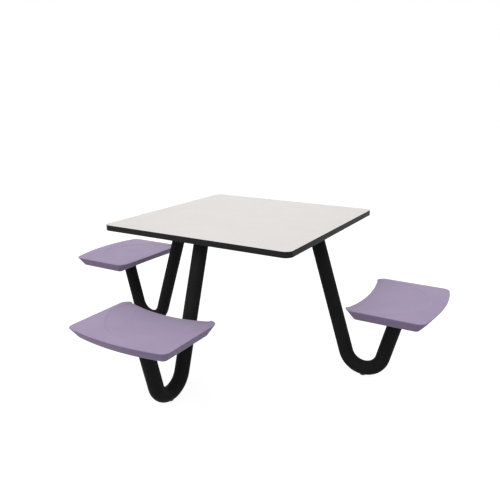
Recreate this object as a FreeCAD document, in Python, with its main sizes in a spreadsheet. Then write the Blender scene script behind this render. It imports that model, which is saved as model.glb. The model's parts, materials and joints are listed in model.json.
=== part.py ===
import FreeCAD, Part
import math
import os

import Sketcher

# Square table on three bent tube legs. Each leg runs from under the top down to the floor
# and up again to a seat that turns on a spindle. The rear side stays open.
#
# Every leg and seat is drawn once, on the +X side of the table's centre, and placed by a turn
# about that centre: x is the distance outward from the centre, y runs along the table's side,
# z is the height above the floor. Seat pieces are drawn about their own spindle.

doc = FreeCAD.newDocument("SwivelSeatTable")

DIMENSIONS = {
    # table top
    "top_side": 1066.8,
    "top_height": 762.0,
    "top_thickness": 28.6,
    "top_corner": 38.1,
    "laminate_thickness": 1.0,
    "backer_thickness": 0.8,
    "band_wall": 2.0,
    "band_upper_round": 1.0,
    "band_lower_round": 1.5,
    "tongue_depth": 9.0,
    "tongue_thickness": 2.6,
    # bent tube legs
    "tube_diameter": 73.0,
    "tube_wall": 3.0,
    "bend_radius": 101.6,
    "bend_reach": 707.0,
    "floor_gap": 3.0,
    "leg_top_reach": 416.0,
    "seat_axis_reach": 868.0,
    "post_height": 352.0,
    "trim_allowance": 30.0,
    # plates and screws between the frame and the top
    "leg_plate_reach": 415.0,
    "leg_plate_length": 170.0,
    "leg_plate_width": 150.0,
    "plate_thickness": 8.0,
    "plate_corner": 12.0,
    "plate_screw_x": 65.0,
    "plate_screw_y": 55.0,
    "screw_diameter": 8.0,
    "screw_clearance": 9.0,
    "screw_length": 24.0,
    "screw_head_diameter": 16.0,
    "screw_head_height": 5.0,
    "head_bevel": 1.0,
    "insert_diameter": 12.0,
    "insert_length": 16.0,
    # under-top frame
    "hub_side": 260.0,
    "hub_lower_thickness": 6.0,
    "hub_lower_chamfer": 88.0,
    "hub_screw_offset": 106.0,
    "arm_width": 50.0,
    "arm_height": 30.0,
    "arm_wall": 3.0,
    "arm_start": 45.0,
    "arm_bolt_near": 70.0,
    "arm_bolt_far": 108.0,
    "bolt_diameter": 10.0,
    "bolt_clearance": 11.0,
    "bolt_head_flats": 17.0,
    "bolt_head_height": 6.4,
    "cope_gap": 0.1,
    "cope_run": 90.0,
    "rear_arm_end": 430.0,
    "rear_plate_reach": 385.0,
    "rear_plate_length": 90.0,
    "rear_screw_x": 30.0,
    "cap_flange": 3.0,
    "cap_plug": 16.0,
    "cap_fit": 0.2,
    # floor glides
    "glide_diameter": 30.0,
    "glide_height": 7.0,
    "glide_round": 1.0,
    "stud_diameter": 8.0,
    "stud_bottom": 1.0,
    "stud_top": 24.0,
    "rivet_nut_diameter": 11.0,
    "rivet_nut_length": 14.0,
    "rivet_nut_rise": 1.0,
    # seat post and spindle
    "post_cap_diameter": 92.0,
    "post_cap_thickness": 6.0,
    "spindle_diameter": 30.0,
    "spindle_spigot": 22.0,
    "spindle_top": 416.0,
    "spindle_chamfer": 1.0,
    "bush_clearance": 0.05,
    "axial_clearance": 0.3,
    "bush_wall": 3.0,
    "bush_flange_diameter": 48.0,
    "bush_length": 22.0,
    "hub_sleeve_wall": 5.0,
    "hub_sleeve_bottom": 361.0,
    "hub_sleeve_top": 413.0,
    "washer_diameter": 44.0,
    "washer_thickness": 3.0,
    "washer_play": 0.5,
    "retaining_diameter": 10.0,
    "retaining_length": 26.0,
    "retaining_hole_spare": 3.0,
    "retaining_head_diameter": 16.0,
    "retaining_head_height": 6.0,
    "stop_pin_diameter": 8.0,
    "stop_pin_offset": 36.0,
    "stop_slot_clearance": 1.0,
    "stop_pin_top": 405.5,
    # seat bracket
    "bracket_side": 236.0,
    "bracket_corner": 22.0,
    "bracket_bottom": 401.0,
    "bracket_thickness": 5.0,
    "seat_screw_offset": 98.0,
    "seat_screw_diameter": 6.0,
    "seat_screw_clearance": 7.0,
    "seat_screw_length": 18.0,
    "seat_screw_head_diameter": 12.0,
    "seat_screw_head_height": 4.0,
    "seat_insert_diameter": 9.0,
    "seat_insert_length": 14.0,
    # seat moulding
    "seat_rim_height": 447.2,
    "seat_rear_drop": 2.4,
    "seat_front_crown": 0.05,
    "seat_rear_crown": 4.4,
    "seat_crown_station": 260.0,
    "seat_bottom_height": 395.5,
    "seat_inner_reach": 671.4,
    "seat_outer_reach": 1050.6,
    "seat_inner_bulge": 27.0,
    "seat_outer_bulge": 34.5,
    "seat_half_width": 272.0,
    "seat_base_inner_inset": 50.2,
    "seat_base_outer_inset": 31.6,
    "seat_base_side_inset": 32.5,
    "seat_base_inner_bulge": 6.0,
    "seat_base_outer_bulge": 26.5,
    "seat_inner_corner": 42.0,
    "seat_outer_corner": 38.0,
    "seat_base_inner_corner": 15.0,
    "seat_base_outer_corner": 20.0,
    "seat_rim_round": 2.0,
    "seat_rim_loss": 2.182,
    "seat_ceiling_gap": 24.0,
    "seat_base_round": 6.0,
    "seat_wall": 6.0,
    "seat_room_overlap": 1.0,
    "seat_skin": 6.0,
    "dish_reach": 770.0,
    "dish_depth": 15.4,
    "dish_arc_radius": 275.0,
    "dish_edge_radius": 237.0,
    "dish_lip_width": 16.8,
    "dish_lip_height": 6.0,
    "rib_thickness": 4.0,
    "rib_bottom": 408.0,
    "rib_ring_radius": 34.0,
    "boss_diameter": 22.0,
    "boss_hole_depth": 16.0,
}

sheet = doc.addObject("Spreadsheet::Sheet", "Sizes")
for row, (word, value) in enumerate(DIMENSIONS.items(), start=1):
    sheet.set("A%d" % row, word)
    sheet.set("B%d" % row, str(value))
    sheet.setAlias("B%d" % row, word)
doc.recompute()


class Size:
    """A number together with the sheet formula it comes from."""

    def __init__(self, value, formula):
        self.value = value
        self.formula = formula

    def __add__(self, other):
        other = as_size(other)
        return Size(self.value + other.value, "(%s + %s)" % (self.formula, other.formula))

    def __sub__(self, other):
        other = as_size(other)
        return Size(self.value - other.value, "(%s - %s)" % (self.formula, other.formula))

    def __mul__(self, other):
        other = as_size(other)
        return Size(self.value * other.value, "(%s * %s)" % (self.formula, other.formula))

    def __truediv__(self, other):
        other = as_size(other)
        return Size(self.value / other.value, "(%s / %s)" % (self.formula, other.formula))

    def __neg__(self):
        return Size(-self.value, "(0 - %s)" % self.formula)

    def __radd__(self, other):
        return as_size(other) + self

    def __rsub__(self, other):
        return as_size(other) - self

    def __rmul__(self, other):
        return as_size(other) * self


def as_size(item):
    return item if isinstance(item, Size) else Size(float(item), repr(float(item)))


def root(item):
    return Size(math.sqrt(item.value), "sqrt(%s)" % item.formula)


def dim(word):
    return Size(float(sheet.get(word)), "Sizes." + word)


# ---------------------------------------------------------------- sketches and features

def new_body(name):
    body = doc.addObject("PartDesign::Body", name)
    body.Label = name
    return body


def new_sketch(body, plane, lift=None):
    """A sketch on one of the body's own origin planes, raised along the plane's normal."""
    sketch = body.newObject("Sketcher::SketchObject", body.Name + "_sketch")
    support = [feature for feature in body.Origin.OriginFeatures if feature.Role == plane][0]
    sketch.AttachmentSupport = [(support, "")]
    sketch.MapMode = "FlatFace"
    if lift is not None:
        sketch.setExpression("AttachmentOffset.Base.z", as_size(lift).formula)
    return sketch


def hold_value(sketch, constraint, size):
    index = sketch.addConstraint(constraint)
    sketch.setExpression("Constraints[%d]" % index, size.formula)


def hold_point(sketch, geometry, end, x, y):
    """Fixes a point of the sketch at x, y from its origin."""
    for kind, axis, place in (("DistanceX", -2, as_size(x)), ("DistanceY", -1, as_size(y))):
        if abs(place.value) < 1e-9:
            sketch.addConstraint(Sketcher.Constraint("PointOnObject", geometry, end, axis))
        else:
            constraint = Sketcher.Constraint(kind, -1, 1, geometry, end, place.value)
            hold_value(sketch, constraint, place)


def vector(x, y):
    return FreeCAD.Vector(as_size(x).value, as_size(y).value, 0)


def draw_polygon(sketch, points):
    count = len(points)
    first = sketch.GeometryCount
    for index, point in enumerate(points):
        following = points[(index + 1) % count]
        sketch.addGeometry(Part.LineSegment(vector(*point), vector(*following)))
    for index, point in enumerate(points):
        here = first + index
        before = first + (index - 1) % count
        sketch.addConstraint(Sketcher.Constraint("Coincident", before, 2, here, 1))
        hold_point(sketch, here, 1, *point)


def draw_rectangle(sketch, x_low, y_low, x_high, y_high):
    draw_polygon(sketch, [(x_low, y_low), (x_high, y_low), (x_high, y_high), (x_low, y_high)])


def draw_circle(sketch, x, y, radius):
    circle = Part.Circle(vector(x, y), FreeCAD.Vector(0, 0, 1), radius.value)
    index = sketch.addGeometry(circle)
    hold_point(sketch, index, 3, x, y)
    hold_value(sketch, Sketcher.Constraint("Radius", index, radius.value), radius)


def add_arc(sketch, x, y, radius, start, finish):
    """An arc about x, y between two angles in degrees, turning anticlockwise."""
    circle = Part.Circle(vector(x, y), FreeCAD.Vector(0, 0, 1), as_size(radius).value)
    return sketch.addGeometry(Part.ArcOfCircle(circle, math.radians(start), math.radians(finish)))


def draw_rounded_rectangle(sketch, half_x, half_y, radius):
    """A rectangle about the origin whose sides meet in tangent arcs."""
    corners = [(1, 1), (-1, 1), (-1, -1), (1, -1)]
    arcs = []
    for index, (right, up) in enumerate(corners):
        x = (half_x - radius) * right
        y = (half_y - radius) * up
        arc = add_arc(sketch, x, y, radius, 90 * index, 90 * index + 90)
        hold_point(sketch, arc, 3, x, y)
        hold_value(sketch, Sketcher.Constraint("Radius", arc, radius.value), radius)
        arcs.append(arc)
    for index, arc in enumerate(arcs):
        following = arcs[(index + 1) % 4]
        start = sketch.getPoint(arc, 2)
        finish = sketch.getPoint(following, 1)
        side = sketch.addGeometry(Part.LineSegment(start, finish))
        sketch.addConstraint(Sketcher.Constraint("Tangent", arc, 2, side, 1))
        sketch.addConstraint(Sketcher.Constraint("Tangent", side, 2, following, 1))


def set_length(feature, length, symmetric):
    feature.setExpression("Length", as_size(length).formula)
    if symmetric:
        feature.SideType = "Symmetric"


def pad(body, sketch, length, symmetric=False):
    feature = body.newObject("PartDesign::Pad", body.Name + "_pad")
    feature.Profile = sketch
    set_length(feature, length, symmetric)
    doc.recompute()
    return feature


def pocket(body, sketch, length, symmetric=False, upward=False):
    """Cuts below the sketch, or above it when upward, and makes sure that something went."""
    volume = body.Shape.Volume
    feature = body.newObject("PartDesign::Pocket", body.Name + "_pocket")
    feature.Profile = sketch
    feature.Reversed = upward
    set_length(feature, length, symmetric)
    doc.recompute()
    if not body.Shape.Volume < volume:
        raise ValueError(feature.Name + " cuts nothing")
    return feature


def edge_names(shape, wanted):
    return ["Edge%d" % (index + 1) for index, edge in enumerate(shape.Edges) if wanted(edge)]


def dress(body, kind, wanted, radius):
    """Rounds or bevels the edges of the body's latest feature that fit the test."""
    base = body.Tip
    names = edge_names(base.Shape, wanted)
    if not names:
        raise ValueError(body.Name + " has no edge to dress")
    feature = body.newObject("PartDesign::" + kind, body.Name + "_" + kind.lower())
    feature.Base = (base, names)
    feature.setExpression("Radius" if kind == "Fillet" else "Size", as_size(radius).formula)
    doc.recompute()
    return feature


def is_upright(edge):
    box = edge.BoundBox
    return box.ZLength > 1e-4 and box.XLength < 1e-4 and box.YLength < 1e-4


def lies_at(height):
    def wanted(edge):
        box = edge.BoundBox
        return abs(box.ZMin - height.value) < 1e-3 and box.ZLength < 1e-3
    return wanted


def turned(name, outline):
    """A body of revolution about its own z axis; the outline's points are radius and height."""
    body = new_body(name)
    sketch = new_sketch(body, "XZ_Plane")
    draw_polygon(sketch, outline)
    feature = body.newObject("PartDesign::Revolution", name + "_turn")
    feature.Profile = sketch
    feature.ReferenceAxis = (sketch, ["V_Axis"])
    feature.Angle = 360
    doc.recompute()
    return body


def cylinder(name, radius, bottom, top, x=0.0, y=0.0):
    piece = doc.addObject("Part::Cylinder", name)
    piece.setExpression("Radius", as_size(radius).formula)
    piece.setExpression("Height", (as_size(top) - bottom).formula)
    for axis, place in (("x", x), ("y", y), ("z", bottom)):
        piece.setExpression("Placement.Base." + axis, as_size(place).formula)
    return piece


def block(name, low, high):
    piece = doc.addObject("Part::Box", name)
    for side, axis, start, finish in zip(("Length", "Width", "Height"), "xyz", low, high):
        piece.setExpression(side, (as_size(finish) - start).formula)
        piece.setExpression("Placement.Base." + axis, as_size(start).formula)
    return piece


def cut(name, base, tool):
    piece = doc.addObject("Part::Cut", name)
    piece.Label = name
    piece.Base = base
    piece.Tool = tool
    return piece


def fuse(name, pieces):
    piece = doc.addObject("Part::MultiFuse", name)
    piece.Label = name
    piece.Shapes = pieces
    return piece


nodes = []


def keep(piece):
    nodes.append(piece)
    return piece


def copies_at(name, pattern, places):
    """Separate solids in one piece: the pattern's shape at each x, y."""
    doc.recompute()
    copies = []
    for x, y in places:
        copy = pattern.Shape.copy()
        copy.translate(vector(x, y))
        copies.append(copy)
    piece = doc.addObject("Part::Feature", name)
    piece.Label = name
    piece.Shape = Part.makeCompound(copies)
    return piece


# ---------------------------------------------------------------- shared heights and places

seat_axis = dim("seat_axis_reach")
tube_radius = dim("tube_diameter") / 2
bend_height = dim("floor_gap") + tube_radius + dim("bend_radius")
top_bottom = dim("top_height") - dim("top_thickness")
core_bottom = top_bottom + dim("backer_thickness")
plate_bottom = top_bottom - dim("plate_thickness")
arm_bottom = plate_bottom - dim("arm_height")
cap_top = dim("post_height") + dim("post_cap_thickness")

# the seat's wall leans outward as it rises, so its crowned rear edge reaches a little further,
# and the rounding of the rim takes some of that off again
seat_rise = dim("seat_rim_height") - dim("seat_bottom_height")
rear_run = dim("seat_base_outer_inset") + dim("seat_outer_bulge") - dim("seat_base_outer_bulge")
crown_reach = (dim("seat_rear_crown") - dim("seat_rear_drop")) * rear_run / seat_rise
seat_reach = dim("seat_outer_reach") + dim("seat_outer_bulge") + crown_reach - dim("seat_rim_loss")
table_centre = (seat_reach - dim("top_side") / 2) / 2

SIDES = {"right": 0, "front": -90, "left": 180}
ALL_SIDES = {"right": 0, "front": -90, "left": 180, "rear": 90}


def turn(x, y, angle):
    """Turns a point about the table's centre by a whole number of quarter turns."""
    return {0: (x, y), 90: (-y, x), 180: (-x, -y), -90: (y, -x)}[angle]


def place_on_table(piece, angle):
    piece.Placement = FreeCAD.Placement(FreeCAD.Vector(), FreeCAD.Rotation(FreeCAD.Vector(0, 0, 1), angle))
    piece.setExpression("Placement.Base.y", table_centre.formula)
    return keep(piece)


def place_on_spindle(piece, angle):
    piece.Placement = FreeCAD.Placement(FreeCAD.Vector(), FreeCAD.Rotation(FreeCAD.Vector(0, 0, 1), angle))
    x, y = turn(seat_axis, as_size(0), angle)
    piece.setExpression("Placement.Base.x", x.formula)
    piece.setExpression("Placement.Base.y", (y + table_centre).formula)
    return keep(piece)


def rectangle_of_points(centre, half_x, half_y):
    return [(centre + half_x * along, half_y * across) for along in (1, -1) for across in (1, -1)]


leg_screws = rectangle_of_points(dim("leg_plate_reach"), dim("plate_screw_x"), dim("plate_screw_y"))
rear_screws = rectangle_of_points(dim("rear_plate_reach"), dim("rear_screw_x"), dim("plate_screw_y"))
hub_screws = rectangle_of_points(as_size(0), dim("hub_screw_offset"), dim("hub_screw_offset"))
arm_bolts = [(dim("arm_bolt_near"), as_size(0)), (dim("arm_bolt_far"), as_size(0))]

top_screws = list(hub_screws)
for side_angle in SIDES.values():
    top_screws += [turn(x, y, side_angle) for x, y in leg_screws]
top_screws += [turn(x, y, 90) for x, y in rear_screws]
hub_bolts = [turn(x, y, angle) for angle in ALL_SIDES.values() for x, y in arm_bolts]


# ---------------------------------------------------------------- table top

def board(name, bottom, thickness, holes=None):
    """A square board inside the edge band, with round holes through it where given."""
    body = new_body(name)
    half = dim("top_side") / 2 - dim("band_wall")
    sketch = new_sketch(body, "XY_Plane", bottom)
    draw_rounded_rectangle(sketch, half, half, dim("top_corner") - dim("band_wall"))
    for x, y in holes or []:
        draw_circle(sketch, x, y, dim("insert_diameter") / 2)
    pad(body, sketch, thickness)
    return body


def ring_sketch(body, lift, outer_inset, inner_inset):
    """The strip between two rounded squares set in from the table's edge."""
    sketch = new_sketch(body, "XY_Plane", lift)
    for inset in (outer_inset, inner_inset):
        half = dim("top_side") / 2 - inset
        draw_rounded_rectangle(sketch, half, half, dim("top_corner") - inset)
    return sketch


tongue_bottom = dim("top_height") - (dim("top_thickness") + dim("tongue_thickness")) / 2
tongue_inset = dim("band_wall") + dim("tongue_depth")
core_thickness = dim("top_thickness") - dim("laminate_thickness") - dim("backer_thickness")

core = board("tabletop_core", core_bottom, core_thickness)
slot = ring_sketch(core, tongue_bottom, as_size(0), tongue_inset)
pocket(core, slot, dim("tongue_thickness"), upward=True)
insert_holes = new_sketch(core, "XY_Plane", core_bottom)
for x, y in top_screws:
    draw_circle(insert_holes, x, y, dim("insert_diameter") / 2)
pocket(core, insert_holes, dim("insert_length"), upward=True)
place_on_table(core, 0)

laminate_bottom = dim("top_height") - dim("laminate_thickness")
place_on_table(board("tabletop_laminate", laminate_bottom, dim("laminate_thickness")), 0)
place_on_table(board("tabletop_backer", top_bottom, dim("backer_thickness"), top_screws), 0)

band = new_body("tabletop_edge_band")
pad(band, ring_sketch(band, top_bottom, as_size(0), dim("band_wall")), dim("top_thickness"))


def outer_rim(height):
    """Edges at a height that lie on the table's outer outline."""
    half = dim("top_side").value / 2
    inner = half - dim("band_wall").value / 2
    arc_centre = half - dim("top_corner").value
    arc_limit = dim("top_corner").value - dim("band_wall").value / 2
    at_height = lies_at(height)

    def wanted(edge):
        middle = edge.valueAt((edge.FirstParameter + edge.LastParameter) / 2)
        out_x = abs(middle.x) - arc_centre
        out_y = abs(middle.y) - arc_centre
        on_corner = out_x > 0 and out_y > 0 and math.hypot(out_x, out_y) > arc_limit
        on_side = max(abs(middle.x), abs(middle.y)) > inner
        return at_height(edge) and (on_side or on_corner)
    return wanted


dress(band, "Fillet", outer_rim(dim("top_height")), dim("band_upper_round"))
dress(band, "Fillet", outer_rim(top_bottom), dim("band_lower_round"))
pad(band, ring_sketch(band, tongue_bottom, dim("band_wall") / 2, tongue_inset), dim("tongue_thickness"))
place_on_table(band, 0)

insert = turned("insert_pattern", [
    (dim("screw_diameter") / 2, core_bottom),
    (dim("insert_diameter") / 2, core_bottom),
    (dim("insert_diameter") / 2, core_bottom + dim("insert_length")),
    (dim("screw_diameter") / 2, core_bottom + dim("insert_length")),
])
place_on_table(copies_at("threaded_inserts", insert, top_screws), 0)

screw = turned("tabletop_screw_pattern", [
    (0, plate_bottom - dim("screw_head_height")),
    (dim("screw_head_diameter") / 2 - dim("head_bevel"), plate_bottom - dim("screw_head_height")),
    (dim("screw_head_diameter") / 2, plate_bottom - dim("screw_head_height") + dim("head_bevel")),
    (dim("screw_head_diameter") / 2, plate_bottom),
    (dim("screw_diameter") / 2, plate_bottom),
    (dim("screw_diameter") / 2, plate_bottom + dim("screw_length")),
    (0, plate_bottom + dim("screw_length")),
])
place_on_table(copies_at("tabletop_screws", screw, top_screws), 0)


# ---------------------------------------------------------------- frame under the top

def flat_plate(name, bottom, thickness, centre, half_x, half_y, corner, holes):
    """A flat plate with round holes; each hole is a place and a radius."""
    body = new_body(name)
    sketch = new_sketch(body, "XY_Plane", bottom)
    draw_rectangle(sketch, centre - half_x, -half_y, centre + half_x, half_y)
    for x, y, radius in holes:
        draw_circle(sketch, x, y, radius)
    pad(body, sketch, thickness)
    dress(body, "Fillet", lambda edge: is_upright(edge) and edge.Curve.TypeId == "Part::GeomLine"
          and abs(abs(edge.Vertexes[0].Y) - half_y.value) < 1e-4, corner)
    return body


hub_half = dim("hub_side") / 2
upper_holes = [(x, y, dim("screw_clearance") / 2) for x, y in hub_screws]
upper_holes += [(x, y, dim("bolt_diameter") / 2) for x, y in hub_bolts]
place_on_table(flat_plate("hub_plate_upper", plate_bottom, dim("plate_thickness"), as_size(0),
                          hub_half, hub_half, dim("plate_corner"), upper_holes), 0)

lower = new_body("hub_plate_lower")
lower_sketch = new_sketch(lower, "XY_Plane", arm_bottom - dim("hub_lower_thickness"))
draw_rectangle(lower_sketch, -hub_half, -hub_half, hub_half, hub_half)
for x, y in hub_bolts:
    draw_circle(lower_sketch, x, y, dim("bolt_clearance") / 2)
pad(lower, lower_sketch, dim("hub_lower_thickness"))
dress(lower, "Chamfer", lambda edge: is_upright(edge)
      and abs(abs(edge.Vertexes[0].X) - hub_half.value) < 1e-4, dim("hub_lower_chamfer"))
place_on_table(lower, 0)

bolt_seat = arm_bottom - dim("hub_lower_thickness")
bolt_head = doc.addObject("Part::Prism", "bolt_head")
bolt_head.Polygon = 6
bolt_head.setExpression("Circumradius", (dim("bolt_head_flats") / math.sqrt(3)).formula)
bolt_head.setExpression("Height", dim("bolt_head_height").formula)
bolt_head.setExpression("Placement.Base.z", (bolt_seat - dim("bolt_head_height")).formula)
bolt_shank = cylinder("bolt_shank", dim("bolt_diameter") / 2, bolt_seat, top_bottom)
place_on_table(copies_at("hub_bolts", fuse("hub_bolt_pattern", [bolt_head, bolt_shank]), hub_bolts), 0)

# the leg's upper run is tangent to the bend, so it leans toward the table's centre
run_out = (dim("bend_reach") - dim("leg_top_reach")).value
run_down = (plate_bottom - bend_height).value
run_length = math.hypot(run_out, run_down)
upper_lean = math.atan2(run_out, run_down) - math.asin(dim("bend_radius").value / run_length)


def arm(name, finish):
    """A rectangular tube under the top, from the hub outward, drilled for the hub bolts."""
    body = new_body(name)
    sketch = new_sketch(body, "YZ_Plane", dim("arm_start"))
    half = dim("arm_width") / 2
    wall = dim("arm_wall")
    draw_rectangle(sketch, -half, arm_bottom, half, plate_bottom)
    draw_rectangle(sketch, -half + wall, arm_bottom + wall, half - wall, plate_bottom - wall)
    pad(body, sketch, finish - dim("arm_start"))
    holes = new_sketch(body, "XY_Plane", plate_bottom)
    for x, y in arm_bolts:
        draw_circle(holes, x, y, dim("bolt_clearance") / 2)
    pocket(body, holes, dim("arm_height"))
    return body


for side, angle in SIDES.items():
    blank = arm("arm_blank_" + side, dim("leg_top_reach"))
    cope = cylinder("arm_cope_" + side, tube_radius + dim("cope_gap"),
                    plate_bottom - dim("cope_run") * math.cos(upper_lean),
                    plate_bottom + dim("cope_run"),
                    x=dim("leg_top_reach") + dim("cope_run") * math.sin(upper_lean))
    cope.Placement.Rotation = FreeCAD.Rotation(FreeCAD.Vector(0, 1, 0), -math.degrees(upper_lean))
    place_on_table(cut("frame_arm_" + side, blank, cope), angle)

rear_arm = arm("frame_arm_rear", dim("rear_arm_end"))
place_on_table(rear_arm, 90)
rear_holes = [(x, y, dim("screw_clearance") / 2) for x, y in rear_screws]
place_on_table(flat_plate("frame_rear_plate", plate_bottom, dim("plate_thickness"), dim("rear_plate_reach"),
                          dim("rear_plate_length") / 2, dim("leg_plate_width") / 2,
                          dim("plate_corner"), rear_holes), 90)

rear_cap = new_body("frame_rear_cap")
plug_y = dim("arm_width") / 2 - dim("arm_wall") - dim("cap_fit")
plug_low = arm_bottom + dim("arm_wall") + dim("cap_fit")
plug_high = plate_bottom - dim("arm_wall") - dim("cap_fit")
flange = new_sketch(rear_cap, "YZ_Plane", dim("rear_arm_end"))
draw_rectangle(flange, -dim("arm_width") / 2, arm_bottom, dim("arm_width") / 2, plate_bottom)
pad(rear_cap, flange, dim("cap_flange"))
dress(rear_cap, "Fillet", lambda edge: abs(edge.BoundBox.XMin - dim("rear_arm_end").value
                                           - dim("cap_flange").value) < 1e-4, dim("cap_flange") / 2)
plug = new_sketch(rear_cap, "YZ_Plane", dim("rear_arm_end") - dim("cap_plug"))
draw_rectangle(plug, -plug_y, plug_low, plug_y, plug_high)
pad(rear_cap, plug, dim("cap_plug") + dim("cap_flange") / 2)
place_on_table(rear_cap, 90)


# ---------------------------------------------------------------- legs

def tangent_point(x, z, toward_centre):
    """Where a straight run from x, z meets the bend."""
    out = x - dim("bend_reach").value
    up = z - bend_height.value
    radius = dim("bend_radius").value
    reach = math.hypot(out, up)
    turn_angle = math.acos(radius / reach) * (1 if toward_centre else -1)
    angle = math.atan2(up, out) + turn_angle
    return FreeCAD.Vector(dim("bend_reach").value + radius * math.cos(angle),
                          bend_height.value + radius * math.sin(angle), 0)


def leg_line(body):
    """The tube's centre line: a run down, the bend on the floor and a run up, all tangent."""
    sketch = new_sketch(body, "XZ_Plane")
    ends = [(dim("leg_top_reach"), plate_bottom), (seat_axis, dim("post_height"))]
    touches = [tangent_point(x.value, z.value, index == 0) for index, (x, z) in enumerate(ends)]
    centre = vector(dim("bend_reach"), bend_height)
    angles = [math.degrees(math.atan2(touch.y - centre.y, touch.x - centre.x)) for touch in touches]
    trim = dim("trim_allowance")
    starts = []
    for (x, z), touch in zip(ends, touches):
        along = vector(x, z) - touch
        starts.append(vector(x, z) + along * (trim.value / along.y))
    upper = sketch.addGeometry(Part.LineSegment(starts[0], touches[0]))
    bend = add_arc(sketch, dim("bend_reach"), bend_height, dim("bend_radius"), angles[0], angles[1])
    lower = sketch.addGeometry(Part.LineSegment(touches[1], starts[1]))
    hold_point(sketch, bend, 3, dim("bend_reach"), bend_height)
    hold_value(sketch, Sketcher.Constraint("Radius", bend, dim("bend_radius").value), dim("bend_radius"))
    sketch.addConstraint(Sketcher.Constraint("Tangent", upper, 2, bend, 1))
    sketch.addConstraint(Sketcher.Constraint("Tangent", bend, 2, lower, 1))
    for (x, z), line, end in zip(ends, (upper, lower), (1, 2)):
        mark = sketch.addGeometry(Part.Point(vector(x, z)), True)
        hold_point(sketch, mark, 1, x, z)
        sketch.addConstraint(Sketcher.Constraint("PointOnObject", mark, 1, line))
        height = z + trim
        hold_value(sketch, Sketcher.Constraint("DistanceY", -1, 1, line, end, height.value), height)
    doc.recompute()
    return sketch


def leg_tube(name):
    body = new_body(name)
    line = leg_line(body)
    profile = body.newObject("Sketcher::SketchObject", name + "_profile")
    profile.AttachmentSupport = [(line, "Edge1")]
    profile.MapMode = "NormalToEdge"
    draw_circle(profile, 0, 0, tube_radius)
    draw_circle(profile, 0, 0, tube_radius - dim("tube_wall"))
    pipe = body.newObject("PartDesign::AdditivePipe", name + "_pipe")
    pipe.Profile = profile
    pipe.Spine = (line, ["Edge1", "Edge2", "Edge3"])
    doc.recompute()
    trims = new_sketch(body, "XZ_Plane")
    margin = dim("tube_diameter")
    overrun = dim("trim_allowance") * 2
    draw_rectangle(trims, dim("leg_top_reach") - margin, plate_bottom,
                   dim("leg_top_reach") + margin, plate_bottom + overrun)
    draw_rectangle(trims, seat_axis - margin, dim("post_height"),
                   seat_axis + margin, dim("post_height") + overrun)
    pocket(body, trims, margin * 2, symmetric=True)
    glide_hole = new_sketch(body, "XY_Plane")
    draw_circle(glide_hole, dim("bend_reach"), 0, dim("rivet_nut_diameter") / 2)
    pocket(body, glide_hole, dim("glide_height") + dim("tube_wall"), upward=True)
    return body


leg_plate_holes = [(x, y, dim("screw_clearance") / 2) for x, y in leg_screws]
for side, angle in SIDES.items():
    place_on_table(leg_tube("leg_tube_" + side), angle)
    place_on_table(flat_plate("leg_plate_" + side, plate_bottom, dim("plate_thickness"),
                              dim("leg_plate_reach"), dim("leg_plate_length") / 2,
                              dim("leg_plate_width") / 2, dim("plate_corner"), leg_plate_holes), angle)


# ---------------------------------------------------------------- floor glides

def floor_glide(name):
    """A round nylon foot, saddled on top to the underside of the bend."""
    radius = dim("glide_diameter") / 2
    stud = dim("stud_diameter") / 2
    edge = dim("glide_round")
    foot = turned(name + "_foot", [
        (0, 0), (radius - edge, 0), (radius, edge), (radius, dim("glide_height")),
        (stud, dim("glide_height")), (stud, dim("stud_bottom")), (0, dim("stud_bottom")),
    ])
    foot.setExpression("Placement.Base.x", dim("bend_reach").formula)
    bend = doc.addObject("Part::Torus", name + "_saddle")
    bend.setExpression("Radius1", dim("bend_radius").formula)
    bend.setExpression("Radius2", (tube_radius + dim("cope_gap")).formula)
    bend.Placement.Rotation = FreeCAD.Rotation(FreeCAD.Vector(1, 0, 0), 90)
    bend.setExpression("Placement.Base.x", dim("bend_reach").formula)
    bend.setExpression("Placement.Base.z", bend_height.formula)
    return cut(name, foot, bend)


for side, angle in SIDES.items():
    place_on_table(floor_glide("floor_glide_" + side), angle)

glide_places = [turn(dim("bend_reach"), as_size(0), angle) for angle in SIDES.values()]
stud_radius = dim("stud_diameter") / 2
stud = turned("glide_stud_pattern", [
    (0, dim("stud_bottom")), (stud_radius, dim("stud_bottom")),
    (stud_radius, dim("stud_top")), (0, dim("stud_top")),
])
place_on_table(copies_at("glide_studs", stud, glide_places), 0)
nut_bottom = dim("floor_gap") + dim("rivet_nut_rise")
rivet_nut = turned("rivet_nut_pattern", [
    (stud_radius, nut_bottom), (dim("rivet_nut_diameter") / 2, nut_bottom),
    (dim("rivet_nut_diameter") / 2, nut_bottom + dim("rivet_nut_length")),
    (stud_radius, nut_bottom + dim("rivet_nut_length")),
])
place_on_table(copies_at("glide_rivet_nuts", rivet_nut, glide_places), 0)


# ---------------------------------------------------------------- seat post

def post_cap(name):
    """The round plate that closes the tube's upper end and carries the spindle and the stop pin."""
    body = new_body(name)
    sketch = new_sketch(body, "XY_Plane", dim("post_height"))
    draw_circle(sketch, 0, 0, dim("post_cap_diameter") / 2)
    draw_circle(sketch, 0, 0, dim("spindle_spigot") / 2)
    draw_circle(sketch, -dim("stop_pin_offset"), 0, dim("stop_pin_diameter") / 2)
    pad(body, sketch, dim("post_cap_thickness"))
    return body


spindle_radius = dim("spindle_diameter") / 2
thread_radius = dim("retaining_diameter") / 2
washer_top = dim("spindle_top") + dim("washer_thickness")
screw_tip = washer_top - dim("retaining_length")
hole_end = screw_tip - dim("retaining_hole_spare")


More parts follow.
